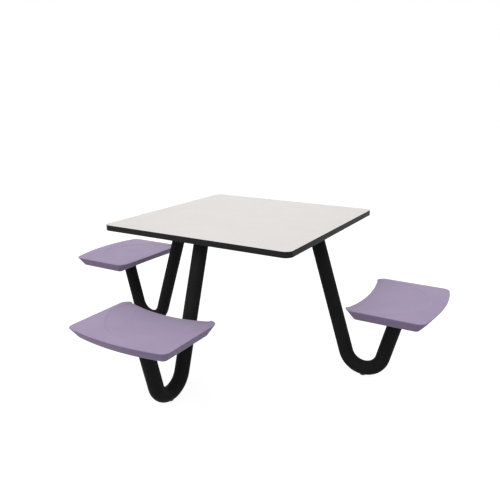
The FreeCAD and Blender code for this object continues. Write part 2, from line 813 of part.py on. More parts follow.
def spindle(name):
    """A turned spindle with a spigot below and a threaded hole in its top."""
    spigot = dim("spindle_spigot") / 2
    bevel = dim("spindle_chamfer")
    return turned(name, [
        (0, dim("post_height")), (spigot, dim("post_height")), (spigot, cap_top),
        (spindle_radius, cap_top), (spindle_radius, dim("spindle_top") - bevel),
        (spindle_radius - bevel, dim("spindle_top")), (thread_radius, dim("spindle_top")),
        (thread_radius, hole_end), (0, hole_end),
    ])


for side, angle in SIDES.items():
    place_on_spindle(post_cap("post_cap_" + side), angle)
    place_on_spindle(spindle("spindle_" + side), angle)

seat_places = [turn(seat_axis, as_size(0), angle) for angle in SIDES.values()]
pin_places = [turn(seat_axis - dim("stop_pin_offset"), as_size(0), angle) for angle in SIDES.values()]
pin_radius = dim("stop_pin_diameter") / 2
stop_pin = turned("stop_pin_pattern", [
    (0, dim("post_height")), (pin_radius, dim("post_height")),
    (pin_radius, dim("stop_pin_top")), (0, dim("stop_pin_top")),
])
place_on_table(copies_at("stop_pins", stop_pin, pin_places), 0)
washer_hole = thread_radius + dim("washer_play")
washer = turned("washer_pattern", [
    (washer_hole, dim("spindle_top")), (dim("washer_diameter") / 2, dim("spindle_top")),
    (dim("washer_diameter") / 2, washer_top), (washer_hole, washer_top),
])
place_on_table(copies_at("retaining_washers", washer, seat_places), 0)
head_radius = dim("retaining_head_diameter") / 2
head_top = washer_top + dim("retaining_head_height")
retaining = turned("retaining_screw_pattern", [
    (0, screw_tip), (thread_radius, screw_tip), (thread_radius, washer_top), (head_radius, washer_top),
    (head_radius, head_top - dim("head_bevel")), (head_radius - dim("head_bevel"), head_top), (0, head_top),
])
place_on_table(copies_at("retaining_screws", retaining, seat_places), 0)


# ---------------------------------------------------------------- seat bracket and bushes

bush_bore = spindle_radius + dim("bush_clearance")
bush_outer = bush_bore + dim("bush_wall")
sleeve_outer = bush_outer + dim("hub_sleeve_wall")
bracket_top = dim("bracket_bottom") + dim("bracket_thickness")
seat_screws = rectangle_of_points(as_size(0), dim("seat_screw_offset"), dim("seat_screw_offset"))


def stop_slot(body, lift):
    """A half-ring slot around the spindle; the stop pin meets its ends a quarter turn each way."""
    sketch = new_sketch(body, "XY_Plane", lift)
    half = dim("stop_pin_diameter") / 2 + dim("stop_slot_clearance")
    middle = dim("stop_pin_offset")
    outer = add_arc(sketch, 0, 0, middle + half, 90, 270)
    inner = add_arc(sketch, 0, 0, middle - half, 90, 270)
    for arc, radius in ((outer, middle + half), (inner, middle - half)):
        sketch.addConstraint(Sketcher.Constraint("Coincident", arc, 3, -1, 1))
        hold_value(sketch, Sketcher.Constraint("Radius", arc, radius.value), radius)
        for end in (1, 2):
            sketch.addConstraint(Sketcher.Constraint("PointOnObject", arc, end, -2))
    upper = add_arc(sketch, 0, middle, half, -90, 90)
    sketch.addConstraint(Sketcher.Constraint("Coincident", upper, 1, inner, 1))
    sketch.addConstraint(Sketcher.Constraint("Coincident", upper, 2, outer, 1))
    lower = add_arc(sketch, 0, -middle, half, -90, 90)
    sketch.addConstraint(Sketcher.Constraint("Coincident", lower, 1, outer, 2))
    sketch.addConstraint(Sketcher.Constraint("Coincident", lower, 2, inner, 2))
    for arc in (upper, lower):
        sketch.addConstraint(Sketcher.Constraint("PointOnObject", arc, 3, -2))
    return sketch


def seat_bracket(name):
    """A plate under the seat with the sleeve that turns on the spindle."""
    body = new_body(name)
    half = dim("bracket_side") / 2
    plate = new_sketch(body, "XY_Plane", dim("bracket_bottom"))
    draw_rounded_rectangle(plate, half, half, dim("bracket_corner"))
    for x, y in seat_screws:
        draw_circle(plate, x, y, dim("seat_screw_clearance") / 2)
    pad(body, plate, dim("bracket_thickness"))
    sleeve = new_sketch(body, "XY_Plane", dim("hub_sleeve_bottom"))
    draw_circle(sleeve, 0, 0, sleeve_outer)
    pad(body, sleeve, dim("hub_sleeve_top") - dim("hub_sleeve_bottom"))
    bore = new_sketch(body, "XY_Plane", dim("hub_sleeve_bottom"))
    draw_circle(bore, 0, 0, bush_outer)
    pocket(body, bore, dim("hub_sleeve_top") - dim("hub_sleeve_bottom"), upward=True)
    pocket(body, stop_slot(body, dim("bracket_bottom")), dim("bracket_thickness"), upward=True)
    return body


def bush(name, flange_face, flange_back, sleeve_end):
    """A flanged nylon bush: face is the flange's outer side, back the side on the sleeve."""
    flange = dim("bush_flange_diameter") / 2
    return turned(name, [
        (bush_bore, flange_face), (flange, flange_face), (flange, flange_back),
        (bush_outer, flange_back), (bush_outer, sleeve_end), (bush_bore, sleeve_end),
    ])


for side, angle in SIDES.items():
    place_on_spindle(seat_bracket("seat_bracket_" + side), angle)
    place_on_spindle(bush("upper_bush_" + side, dim("spindle_top") - dim("axial_clearance"),
                          dim("hub_sleeve_top"), dim("hub_sleeve_top") - dim("bush_length")), angle)
    place_on_spindle(bush("lower_bush_" + side, cap_top + dim("axial_clearance"),
                          dim("hub_sleeve_bottom"), dim("hub_sleeve_bottom") + dim("bush_length")), angle)


# ---------------------------------------------------------------- seat moulding

def outline_at(body, height, inset):
    """The seat's outline at a height, between its base and rim outlines and set in by a wall.

    Both long edges are arcs that bulge away from the table, less so at the base, and the four
    corners are tangent arcs, tighter at the base.
    """
    share = (as_size(height) - dim("seat_bottom_height")) / seat_rise
    rest = 1 - share
    inner = dim("seat_inner_reach") - seat_axis + dim("seat_base_inner_inset") * rest + inset
    outer = dim("seat_outer_reach") - seat_axis - dim("seat_base_outer_inset") * rest - inset
    half = dim("seat_half_width") - dim("seat_base_side_inset") * rest - inset
    inner_bulge = dim("seat_inner_bulge") * share + dim("seat_base_inner_bulge") * rest
    outer_bulge = dim("seat_outer_bulge") * share + dim("seat_base_outer_bulge") * rest
    inner_corner = dim("seat_inner_corner") * share + dim("seat_base_inner_corner") * rest - inset
    outer_corner = dim("seat_outer_corner") * share + dim("seat_base_outer_corner") * rest - inset
    sketch = new_sketch(body, "XY_Plane", height)

    long_edges = []
    corners = []
    for x, bulge, corner, side in ((inner, inner_bulge, inner_corner, 1),
                                   (outer, outer_bulge, outer_corner, -1)):
        radius = (half * half + bulge * bulge) / (2 * bulge)
        centre = x + bulge - radius
        reach = (radius + corner * side).value
        rise = (half - corner).value
        lean = math.degrees(math.asin(rise / reach))
        edge = add_arc(sketch, centre, 0, radius, -lean, lean)
        hold_point(sketch, edge, 3, centre, 0)
        hold_value(sketch, Sketcher.Constraint("Radius", edge, radius.value), radius)
        long_edges.append(edge)
        corner_x = centre.value + math.sqrt(reach * reach - rise * rise)
        spans = ((90, 180 + lean), (180 - lean, 270)) if side == 1 else ((lean, 90), (-90, -lean))
        for (start, finish), up in zip(spans, (1, -1)):
            arc = add_arc(sketch, corner_x, rise * up, corner, start, finish)
            hold_value(sketch, Sketcher.Constraint("Radius", arc, corner.value), corner)
            corners.append(arc)
    inner_edge, outer_edge = long_edges
    inner_up, inner_down, outer_up, outer_down = corners

    up_side = sketch.addGeometry(Part.LineSegment(sketch.getPoint(outer_up, 2),
                                                  sketch.getPoint(inner_up, 1)))
    down_side = sketch.addGeometry(Part.LineSegment(sketch.getPoint(inner_down, 2),
                                                    sketch.getPoint(outer_down, 1)))
    joints = [(outer_up, 2, up_side, 1), (up_side, 2, inner_up, 1), (inner_up, 2, inner_edge, 2),
              (inner_edge, 1, inner_down, 1), (inner_down, 2, down_side, 1), (down_side, 2, outer_down, 1),
              (outer_down, 2, outer_edge, 1), (outer_edge, 2, outer_up, 1)]
    for joint in joints:
        sketch.addConstraint(Sketcher.Constraint("Tangent", *joint))
    for line, height_of_side in ((up_side, half), (down_side, -half)):
        sketch.addConstraint(Sketcher.Constraint("Horizontal", line))
        hold_value(sketch, Sketcher.Constraint("DistanceY", -1, 1, line, 1, height_of_side.value),
                   height_of_side)
    return sketch


def crown_sketch(body, x, edge_height, crown):
    """A closed outline across the seat; its lower edge is the seat's top surface at that x."""
    sketch = new_sketch(body, "YZ_Plane", x)
    half = dim("seat_half_width") + dim("seat_wall")
    ceiling = dim("seat_rim_height") + dim("seat_ceiling_gap")
    radius = (half * half + crown * crown) / (2 * crown)
    centre = edge_height + crown - radius
    spread = math.degrees(math.asin(half.value / radius.value))
    top = add_arc(sketch, 0, centre, radius, 90 - spread, 90 + spread)
    hold_value(sketch, Sketcher.Constraint("Radius", top, radius.value), radius)
    hold_point(sketch, top, 1, half, edge_height)
    hold_point(sketch, top, 2, -half, edge_height)
    points = [vector(half, edge_height), vector(half, ceiling), vector(-half, ceiling),
              vector(-half, edge_height)]
    lines = [sketch.addGeometry(Part.LineSegment(points[index], points[index + 1])) for index in range(3)]
    sketch.addConstraint(Sketcher.Constraint("Coincident", lines[0], 1, top, 1))
    sketch.addConstraint(Sketcher.Constraint("Coincident", lines[2], 2, top, 2))
    for index in (0, 1):
        sketch.addConstraint(Sketcher.Constraint("Coincident", lines[index], 2, lines[index + 1], 1))
    hold_point(sketch, lines[0], 2, half, ceiling)
    hold_point(sketch, lines[1], 2, -half, ceiling)
    return sketch


def loft(body, kind, sketches):
    feature = body.newObject("PartDesign::" + kind, body.Name + "_loft")
    feature.Profile = sketches[0]
    feature.Sections = sketches[1:]
    feature.Ruled = True
    doc.recompute()
    return feature


def dish_sketch(body, drop):
    """Half of the dish's section: a shallow arc that ends in a raised lip."""
    sketch = new_sketch(body, "XZ_Plane")
    centre = dim("dish_reach") - seat_axis
    depth = dim("dish_depth")
    spread = dim("dish_arc_radius")
    radius = (spread * spread + depth * depth) / (2 * depth)
    floor = dim("seat_rim_height") - depth - drop
    edge = dim("dish_edge_radius")
    edge_height = floor + radius - root(radius * radius - edge * edge)
    lip = edge + dim("dish_lip_width")
    lip_height = edge_height + dim("dish_lip_height")
    ceiling = dim("seat_rim_height") + dim("seat_ceiling_gap")
    angle = math.degrees(math.asin(edge.value / radius.value))
    bowl = add_arc(sketch, centre, floor + radius, radius, -90, -90 + angle)
    hold_value(sketch, Sketcher.Constraint("Radius", bowl, radius.value), radius)
    hold_point(sketch, bowl, 1, centre, floor)
    hold_point(sketch, bowl, 2, centre + edge, edge_height)
    corners = [(centre + edge, edge_height), (centre + lip, lip_height), (centre + lip, ceiling),
               (centre, ceiling), (centre, floor)]
    lines = [sketch.addGeometry(Part.LineSegment(vector(*corners[index]), vector(*corners[index + 1])))
             for index in range(4)]
    sketch.addConstraint(Sketcher.Constraint("Coincident", lines[0], 1, bowl, 2))
    sketch.addConstraint(Sketcher.Constraint("Coincident", lines[3], 2, bowl, 1))
    for index in range(3):
        sketch.addConstraint(Sketcher.Constraint("Coincident", lines[index], 2, lines[index + 1], 1))
        hold_point(sketch, lines[index], 2, *corners[index + 1])
    axis = sketch.addGeometry(Part.LineSegment(vector(centre, floor), vector(centre, ceiling)), True)
    hold_point(sketch, axis, 1, centre, floor)
    hold_point(sketch, axis, 2, centre, ceiling)
    return sketch


def rim_edges(body):
    """The edges where the seat's side walls meet its top."""
    walls = [face for face in body.Tip.Shape.Faces if face.BoundBox.ZLength > seat_rise.value / 2]
    middle = dim("bracket_bottom").value
    rim = [edge for wall in walls for edge in wall.Edges if edge.BoundBox.ZMin > middle]
    shared = [edge for edge in rim if sum(edge.isSame(other) for other in rim) == 1]
    return lambda edge: any(edge.isSame(other) for other in shared)


def is_dish_mouth(edge):
    """Whether this is the long edge where the dish runs out through the wall facing the table."""
    box = edge.BoundBox
    above_base = box.ZMin > dim("bracket_bottom").value
    return above_base and box.XMax < 0 and box.YLength > dim("dish_edge_radius").value


def seat_form(name, bottom, inset, drop, rounded=False):
    """The seat as a solid block: lofted walls, a crowned top and a round dish open to the table."""
    body = new_body(name)
    ceiling = dim("seat_rim_height") + dim("seat_base_round")
    loft(body, "AdditiveLoft", [outline_at(body, bottom, inset), outline_at(body, ceiling, inset)])
    station = dim("seat_crown_station")
    front = crown_sketch(body, -station, dim("seat_rim_height") - drop, dim("seat_front_crown"))
    rear = crown_sketch(body, station, dim("seat_rim_height") - dim("seat_rear_drop") - drop,
                        dim("seat_rear_crown"))
    loft(body, "SubtractiveLoft", [front, rear])
    if rounded:
        dress(body, "Fillet", lies_at(bottom), dim("seat_base_round"))
        dress(body, "Fillet", rim_edges(body), dim("seat_rim_round"))
    groove = body.newObject("PartDesign::Groove", name + "_dish")
    groove.Profile = dish_sketch(body, drop)
    groove.ReferenceAxis = (groove.Profile[0], ["Axis0"])
    groove.Angle = 360
    doc.recompute()
    if rounded:
        dress(body, "Fillet", is_dish_mouth, dim("seat_rim_round"))
    return body


ring_outer = dim("rib_ring_radius")
ring_inner = ring_outer - dim("rib_thickness")
boss_bottom = bracket_top
rib_top = dim("seat_rim_height") + dim("seat_base_round")


def seat_ribs(name):
    """What stands down from the seat's skin: ribs in line with the screws, a ring, a cross and bosses."""
    half = dim("rib_thickness") / 2
    far = dim("seat_half_width")
    near = dim("seat_screw_offset")
    low = dim("rib_bottom")
    pieces = []
    for index, offset in enumerate((-near, near)):
        pieces.append(block("%s_across_%d" % (name, index), (offset - half, -far, low),
                            (offset + half, far, rib_top)))
        pieces.append(block("%s_along_%d" % (name, index), (-far, offset - half, low),
                            (far, offset + half, rib_top)))
    cross = fuse(name + "_cross", [
        block(name + "_middle_x", (-near, -half, low), (near, half, rib_top)),
        block(name + "_middle_y", (-half, -near, low), (half, near, rib_top)),
        cylinder(name + "_ring", ring_outer, low, rib_top),
    ])
    pieces.append(cut(name + "_hub", cross, cylinder(name + "_room", ring_inner, low - 1, rib_top + 1)))
    for index, (x, y) in enumerate(seat_screws):
        pieces.append(cylinder("%s_boss_%d" % (name, index), dim("boss_diameter") / 2,
                               boss_bottom, rib_top, x, y))
    return fuse(name, pieces)


def seat_shell(name):
    """The hollow moulding: the outer form less the room inside it, with the ribs left standing."""
    form = seat_form(name + "_form", dim("seat_bottom_height"), as_size(0), as_size(0), rounded=True)
    room = seat_form(name + "_room", dim("seat_bottom_height") - dim("seat_room_overlap"),
                     dim("seat_wall"), dim("seat_skin"))
    open_room = cut(name + "_open_room", room, seat_ribs(name + "_ribs"))
    hollow = cut(name + "_hollow", form, open_room)
    holes = fuse(name + "_boss_holes", [
        cylinder("%s_hole_%d" % (name, index), dim("seat_insert_diameter") / 2, boss_bottom - 1,
                 boss_bottom + dim("boss_hole_depth"), x, y)
        for index, (x, y) in enumerate(seat_screws)])
    return cut(name, hollow, holes)


seat_thread = dim("seat_screw_diameter") / 2
seat_head = dim("seat_screw_head_diameter") / 2
head_bottom = dim("bracket_bottom") - dim("seat_screw_head_height")
seat_insert = turned("seat_insert_pattern", [
    (seat_thread, boss_bottom), (dim("seat_insert_diameter") / 2, boss_bottom),
    (dim("seat_insert_diameter") / 2, boss_bottom + dim("seat_insert_length")),
    (seat_thread, boss_bottom + dim("seat_insert_length")),
])
seat_screw = turned("seat_screw_pattern", [
    (0, head_bottom), (seat_head - dim("head_bevel"), head_bottom),
    (seat_head, head_bottom + dim("head_bevel")),
    (seat_head, dim("bracket_bottom")), (seat_thread, dim("bracket_bottom")),
    (seat_thread, dim("bracket_bottom") + dim("seat_screw_length")),
    (0, dim("bracket_bottom") + dim("seat_screw_length")),
])
for side, angle in SIDES.items():
    place_on_spindle(seat_shell("seat_shell_" + side), angle)
    place_on_spindle(copies_at("seat_inserts_" + side, seat_insert, seat_screws), angle)
    place_on_spindle(copies_at("seat_screws_" + side, seat_screw, seat_screws), angle)


# ---------------------------------------------------------------- check and export

doc.recompute()
for item in doc.Objects:
    if "Invalid" in item.State or "Error" in item.State:
        raise ValueError(item.Name + " did not compute")
for node in nodes:
    if node.Shape.isNull() or not node.Shape.isValid() or not node.Shape.Solids:
        raise ValueError(node.Label + " has no sound shape")

os.makedirs("parts", exist_ok=True)
for node in nodes:
    node.Shape.exportStep("parts/%s.step" % node.Label)
    print("%-24s %3d solids %10.1f cm3" % (node.Label, len(node.Shape.Solids), node.Shape.Volume / 1000))
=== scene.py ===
import json
import math
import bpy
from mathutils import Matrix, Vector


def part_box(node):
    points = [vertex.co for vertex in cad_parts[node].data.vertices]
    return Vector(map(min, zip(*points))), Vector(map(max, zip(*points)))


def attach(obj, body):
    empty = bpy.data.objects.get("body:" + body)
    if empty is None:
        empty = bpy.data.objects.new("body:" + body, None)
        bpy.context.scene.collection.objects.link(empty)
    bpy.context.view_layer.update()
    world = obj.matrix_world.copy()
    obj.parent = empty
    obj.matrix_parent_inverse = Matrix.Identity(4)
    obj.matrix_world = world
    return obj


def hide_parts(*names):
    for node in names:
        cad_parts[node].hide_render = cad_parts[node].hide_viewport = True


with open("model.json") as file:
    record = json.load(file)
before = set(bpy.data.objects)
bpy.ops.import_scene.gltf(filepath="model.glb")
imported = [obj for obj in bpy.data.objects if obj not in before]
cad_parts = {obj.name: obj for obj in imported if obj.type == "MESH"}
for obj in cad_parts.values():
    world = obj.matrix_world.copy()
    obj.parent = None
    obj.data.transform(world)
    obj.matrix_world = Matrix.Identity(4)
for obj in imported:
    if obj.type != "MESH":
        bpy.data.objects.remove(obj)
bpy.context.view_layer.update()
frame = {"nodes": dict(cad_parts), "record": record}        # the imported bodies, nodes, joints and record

from types import SimpleNamespace

import bmesh
import bpy
import numpy as np
from mathutils import Matrix, Vector

# Square laminate table on three bent tube legs, each with a moulded seat that swivels.
# Leg and seat pieces are made once, on the +X side, and turned to each side of the table.
# Lengths are metres.

print("frame loaded with", len(frame["nodes"]), "nodes")

sides = {"right": 0.0, "front": -90.0, "left": 180.0}


def middle(node):
    low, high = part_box(node)
    return (low + high) / 2


tableCentre = middle("tabletop_edge_band")
tableCentre.z = 0.0
spindles = {side: Vector((*middle("spindle_" + side).xy, 0.0)) for side in sides}


def about(side, centre=tableCentre):
    return Matrix.Translation(centre) @ Matrix.Rotation(math.radians(sides[side]), 4, "Z")


def bothWays(operation):
    # an operator's two methods, for a socket on its left and on its right
    return (lambda self, other: self.graph.maths(operation, self, other),
            lambda self, other: self.graph.maths(operation, other, self))


class Wire:
    # an output socket that can stand in a sum: each operator adds a Math node
    def __init__(self, graph, socket):
        self.graph = graph
        self.socket = socket

    def output(self, name):
        return Wire(self.graph, self.socket.node.outputs[name])

    __add__, __radd__ = bothWays("ADD")
    __sub__, __rsub__ = bothWays("SUBTRACT")
    __mul__, __rmul__ = bothWays("MULTIPLY")
    __truediv__, __rtruediv__ = bothWays("DIVIDE")


class Graph:
    # a node tree; node makes any node, and a type without Node in it is of the tree's own family
    def __init__(self, tree):
        self.tree = tree
        self.family = "GeometryNode" if tree.bl_idname == "GeometryNodeTree" else "ShaderNode"

    def plug(self, socket, value):
        for item in value if isinstance(value, list) else [value]:
            if isinstance(item, Wire):
                self.tree.links.new(item.socket, socket)
            else:
                socket.default_value = item

    def node(self, kind, values=None, output=0, **settings):
        made = self.tree.nodes.new(kind if "Node" in kind else self.family + kind)
        stops = settings.pop("stops", ())
        if stops:
            ramp = made.color_ramp.elements
            while len(ramp) < len(stops):
                ramp.new(1.0)
            for element, (place, colour) in zip(ramp, stops):
                element.position = place
                element.color = colour
        for word, value in settings.items():
            setattr(made, word, value)
        for name, value in (values or {}).items():
            self.plug(made.inputs[name], value)
        return Wire(self, made.outputs[output]) if made.outputs else made

    def maths(self, operation, *values):
        return self.node("ShaderNodeMath", dict(enumerate(values)), operation=operation)

    def axis(self, vector, letter):
        return self.node("ShaderNodeSeparateXYZ", {"Vector": vector}, output=letter)

    def vector(self, **axes):
        return self.node("ShaderNodeCombineXYZ", axes)

    def vectorMaths(self, operation, first, second):
        # second is a vector, or the factor of a SCALE
        return self.node("ShaderNodeVectorMath", {0: first, "Scale" if operation == "SCALE" else 1: second},
                         operation=operation)

    def lineAlong(self, mesh, spacing):
        line = self.node("MeshToCurve", {"Mesh": mesh})
        return self.node("ResampleCurve", {"Curve": line, "Length": spacing}, mode="LENGTH")


finishes = {}


class Finish(Graph):
    # a material under construction: places on the piece, patterns, and the closing shader
    def __init__(self, slot):
        self.slot = slot
        self.material = bpy.data.materials.new(slot)
        self.material.use_nodes = True
        self.material.node_tree.nodes.clear()
        super().__init__(self.material.node_tree)
        self.place = self.node("TexCoord", output="Object")

    def noise(self, scale, detail=3.0, roughness=0.5, place=None, distortion=0.0):
        return self.node("TexNoise", {
            "Vector": place or self.place, "Scale": scale, "Detail": detail, "Roughness": roughness,
            "Distortion": distortion})

    def cells(self, scale, smoothness):
        return self.node("TexVoronoi", {"Vector": self.place, "Scale": scale, "Smoothness": smoothness},
                         output="Distance", feature="SMOOTH_F1")

    def stretched(self, x, y, z):
        return self.node("Mapping", {"Vector": self.place, "Scale": (x, y, z)})

    def blend(self, factor, first, second, kind="MIX"):
        return self.node("Mix", {"Factor": factor, 6: first, 7: second}, output=2, data_type="RGBA",
                         blend_type=kind)

    def ranged(self, value, toLow=0.0, toHigh=1.0, low=0.3, high=0.7):
        return self.node("MapRange", {"Value": value, "From Min": low, "From Max": high,
                                      "To Min": toLow, "To Max": toHigh})

    def bump(self, height, depth, strength=1.0, under=None):
        values = {"Height": height, "Distance": depth, "Strength": strength}
        if under is not None:
            values["Normal"] = under
        return self.node("Bump", values)

    def close(self, colour, roughness, normal, **others):
        named = {word.replace("_", " "): value for word, value in others.items()}
        shader = self.node("BsdfPrincipled", {"Base Color": colour, "Roughness": roughness, "Normal": normal,
                                              **named})
        self.node("OutputMaterial", {"Surface": shader})
        finishes[self.slot] = self.material


def shade(red, green, blue):
    return (red, green, blue, 1.0)


def laminateFinish():
    # pale stone-like sheet: soft clouds, a few finer veils and a satin surface
    finish = Finish("laminate")
    clouds = finish.noise(6.5, 6.0, 0.6, distortion=0.6)
    veils = finish.noise(38.0, 4.0, 0.55)
    flecks = finish.noise(620.0, 2.0, 0.6)
    tone = finish.ranged(clouds * 0.62 + veils * 0.26 + flecks * 0.12)
    peel = finish.noise(950.0, 2.0, 0.5)
    finish.close(finish.blend(tone, shade(0.728, 0.698, 0.675), shade(0.774, 0.742, 0.719)),
                 finish.ranged(veils, 0.38, 0.48), finish.bump(peel, 0.00004, 0.35), Specular_IOR_Level=0.25)


def edgeFinish():
    # moulded edge in black: faint mottling, rubbed paler in places along the run
    finish = Finish("edge_band")
    rub = finish.noise(14.0, 5.0, 0.6)
    grain = finish.noise(1300.0, 3.0, 0.6)
    tone = finish.ranged(rub * 0.8 + grain * 0.2, low=0.35, high=0.72)
    colour = finish.blend(tone, shade(0.0175, 0.0175, 0.0177), shade(0.0232, 0.0232, 0.0234))
    finish.close(colour, finish.ranged(rub, 0.46, 0.60), finish.bump(grain, 0.00005, 0.3),
                 Specular_IOR_Level=0.12)


def powderFinish():
    # black powder coat: orange peel under a fine grain
    finish = Finish("black_powder_coat")
    peel = finish.noise(330.0, 3.0, 0.5)
    grain = finish.cells(1500.0, 0.6)
    drift = finish.noise(9.0, 4.0, 0.55)
    speckle = finish.noise(150.0, 2.0, 0.7)
    tone = finish.ranged(drift * 0.4 + speckle * 0.6, low=0.34, high=0.66)
    coarse = finish.bump(peel, 0.00012, 0.45)
    colour = finish.blend(tone, shade(0.0170, 0.0170, 0.0171), shade(0.0292, 0.0292, 0.0293))
    finish.close(colour, finish.ranged(drift * 0.7 + grain * 0.3, 0.52, 0.66),
                 finish.bump(grain, 0.00006, 0.55, coarse), Specular_IOR_Level=0.03)


def seatFinish():
    # moulded plastic in dusty purple with a spark-eroded grain
    finish = Finish("seat_plastic")
    drift = finish.noise(7.0, 4.0, 0.55)
    speck = finish.noise(900.0, 3.0, 0.6)
    pits = finish.cells(1150.0, 0.7)
    tone = finish.ranged(drift * 0.75 + speck * 0.25, low=0.32, high=0.68)
    colour = finish.blend(tone, shade(0.388, 0.313, 0.463), shade(0.427, 0.347, 0.507))
    # painted light: what faces up is painted a little paler and greyer, standing in for the sheen on the top, and
    # the walls and the underside keep a deeper purple, standing in for their shade
    facing = finish.node("Attribute", output="Fac", attribute_name="facing")
    upward = finish.ranged(facing, low=-0.1, high=0.6)
    # painted sheen on upward faces and painted shade on the walls, by the way the surface faces
    paintedTopSheen = finish.blend(upward, shade(0.930, 0.880, 0.975), shade(1.0, 1.0, 1.0))
    finish.close(finish.blend(1.0, colour, paintedTopSheen, "MULTIPLY"), finish.ranged(speck, 0.50, 0.62),
                 finish.bump(pits * 0.7 + speck * 0.3, 0.00005, 0.5), Specular_IOR_Level=0.15)


def zincFinish():
    finish = Finish("zinc_plated_steel")
    spangle = finish.node("TexVoronoi", {"Vector": finish.place, "Scale": 420.0}, output="Color")
    patches = finish.noise(60.0, 4.0, 0.6)
    tint = finish.blend(patches, shade(0.60, 0.60, 0.58), shade(0.70, 0.71, 0.72))
    finish.close(finish.blend(0.12, tint, spangle, "OVERLAY"), finish.ranged(patches, 0.26, 0.42),
                 finish.bump(finish.noise(1400.0, 2.0, 0.5), 0.00003, 0.4), Metallic=1.0)


def groundFinish():
    # turned and ground steel with a film of grease
    finish = Finish("ground_steel")
    rings = finish.noise(1.0, 3.0, 0.6, finish.stretched(60.0, 60.0, 4200.0))
    film = finish.noise(45.0, 4.0, 0.6)
    finish.close(finish.blend(film, shade(0.50, 0.49, 0.46), shade(0.60, 0.60, 0.61)),
                 finish.ranged(film, 0.18, 0.36), finish.bump(rings, 0.00003, 0.5), Metallic=1.0)


def brassFinish():
    finish = Finish("brass")
    film = finish.noise(160.0, 4.0, 0.6)
    knurl = finish.node("TexWave", {"Vector": finish.place, "Scale": 700.0, "Distortion": 1.0},
                        wave_type="RINGS", rings_direction="Z")
    finish.close(finish.blend(film, shade(0.58, 0.40, 0.16), shade(0.80, 0.60, 0.28)),
                 finish.ranged(film, 0.25, 0.42), finish.bump(knurl, 0.00004, 0.3), Metallic=1.0)


def nylonFinish(slot, dark, light):
    finish = Finish(slot)
    flow = finish.noise(55.0, 4.0, 0.6, distortion=0.8)
    grain = finish.noise(1600.0, 2.0, 0.5)
    finish.close(finish.blend(flow, dark, light), finish.ranged(flow, 0.40, 0.54),
                 finish.bump(grain, 0.00003, 0.4), Specular_IOR_Level=0.35)


def coreFinish():
    # pressed board: chips of several browns lying flat
    finish = Finish("core_board")
    chips = finish.node("TexVoronoi", {"Vector": finish.stretched(260.0, 260.0, 1500.0), "Scale": 1.0},
                        output="Color")
    value = finish.node("SeparateColor", {"Color": chips})
    tone = finish.node("ValToRGB", {"Fac": value}, stops=[
        (0.0, shade(0.22, 0.13, 0.065)), (0.45, shade(0.42, 0.28, 0.155)), (1.0, shade(0.60, 0.44, 0.27))])
    finish.close(tone, finish.ranged(value, 0.72, 0.9, low=0.0, high=1.0),
                 finish.bump(value, 0.0002, 0.6))


def backerFinish():
    # the sheet glued under the board: dull brown-black with the weave of its paper
    finish = Finish("backer_sheet")
    stain = finish.noise(11.0, 5.0, 0.6)
    fibre = finish.noise(1.0, 4.0, 0.6, finish.stretched(160.0, 1100.0, 400.0))
    tone = finish.ranged(stain * 0.6 + fibre * 0.4, low=0.32, high=0.68)
    finish.close(finish.blend(tone, shade(0.038, 0.033, 0.029), shade(0.066, 0.058, 0.051)),
                 finish.ranged(fibre, 0.55, 0.72), finish.bump(fibre, 0.00006, 0.5))


for makeFinish in (laminateFinish, edgeFinish, powderFinish, seatFinish, zincFinish, groundFinish, brassFinish,
                   coreFinish, backerFinish):
    makeFinish()
nylonFinish("white_nylon", shade(0.66, 0.64, 0.58), shade(0.76, 0.75, 0.70))
nylonFinish("black_nylon", shade(0.011, 0.011, 0.0115), shade(0.018, 0.018, 0.0185))
for part in frame["record"]["subparts"]:
    slots = frame["nodes"][part["node"]].data.materials
    slots.clear()
    slots.append(finishes[part["material_slot"]])
print("finishes made:", len(finishes))


mergeGap = 0.00001      # points nearer than this are one point of a mesh
seamGap = 0.000002      # the same, where a turned piece closes


def linked(name, data):
    item = bpy.data.objects.new(name, data)
    bpy.context.scene.collection.objects.link(item)
    return item


def meshOf(name, points, lines=(), faces=()):
    mesh = bpy.data.meshes.new(name)
    mesh.from_pydata(points, lines, faces)
    return mesh


def placed(name, mesh, body, slot, replaced, smoothAngle=35.0):
    # the finished piece: its place is in its mesh, and it rides on its body
    mesh.shade_smooth()
    mesh.set_sharp_from_angle(angle=math.radians(smoothAngle))
    if not mesh.materials:
        mesh.materials.append(finishes[slot])
    piece = linked(name, mesh)
    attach(piece, body)
    if replaced:
        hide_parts(*replaced)


def titled(word):
    # ringSteps becomes Ring Steps
    return "".join(" " + letter if letter.isupper() else letter for letter in word).title()


def newTree(name, inputs):
    # inputs holds the value of each of the tree's inputs, with None for the mesh that it starts from
    kinds = {float: "Float", int: "Int", Vector: "Vector", bpy.types.Object: "Object",
             bpy.types.Material: "Material", type(None): "Geometry"}
    graph = Graph(bpy.data.node_groups.new(name, "GeometryNodeTree"))
    sockets = graph.tree.interface
    for word, value in inputs.items():
        sockets.new_socket(titled(word), in_out="INPUT", socket_type="NodeSocket" + kinds[type(value)])
    sockets.new_socket("Geometry", in_out="OUTPUT", socket_type="NodeSocketGeometry")
    graph.values = inputs
    entry = graph.tree.nodes.new("NodeGroupInput")
    return graph, SimpleNamespace(**{word: Wire(graph, entry.outputs[titled(word)]) for word in inputs})


def endTree(graph, geometry, material):
    whole = graph.node("RealizeInstances", {"Geometry": geometry})
    dressed = graph.node("SetMaterial", {"Geometry": whole, "Material": material})
    graph.node("NodeGroupOutput", {"Geometry": dressed})
    return graph


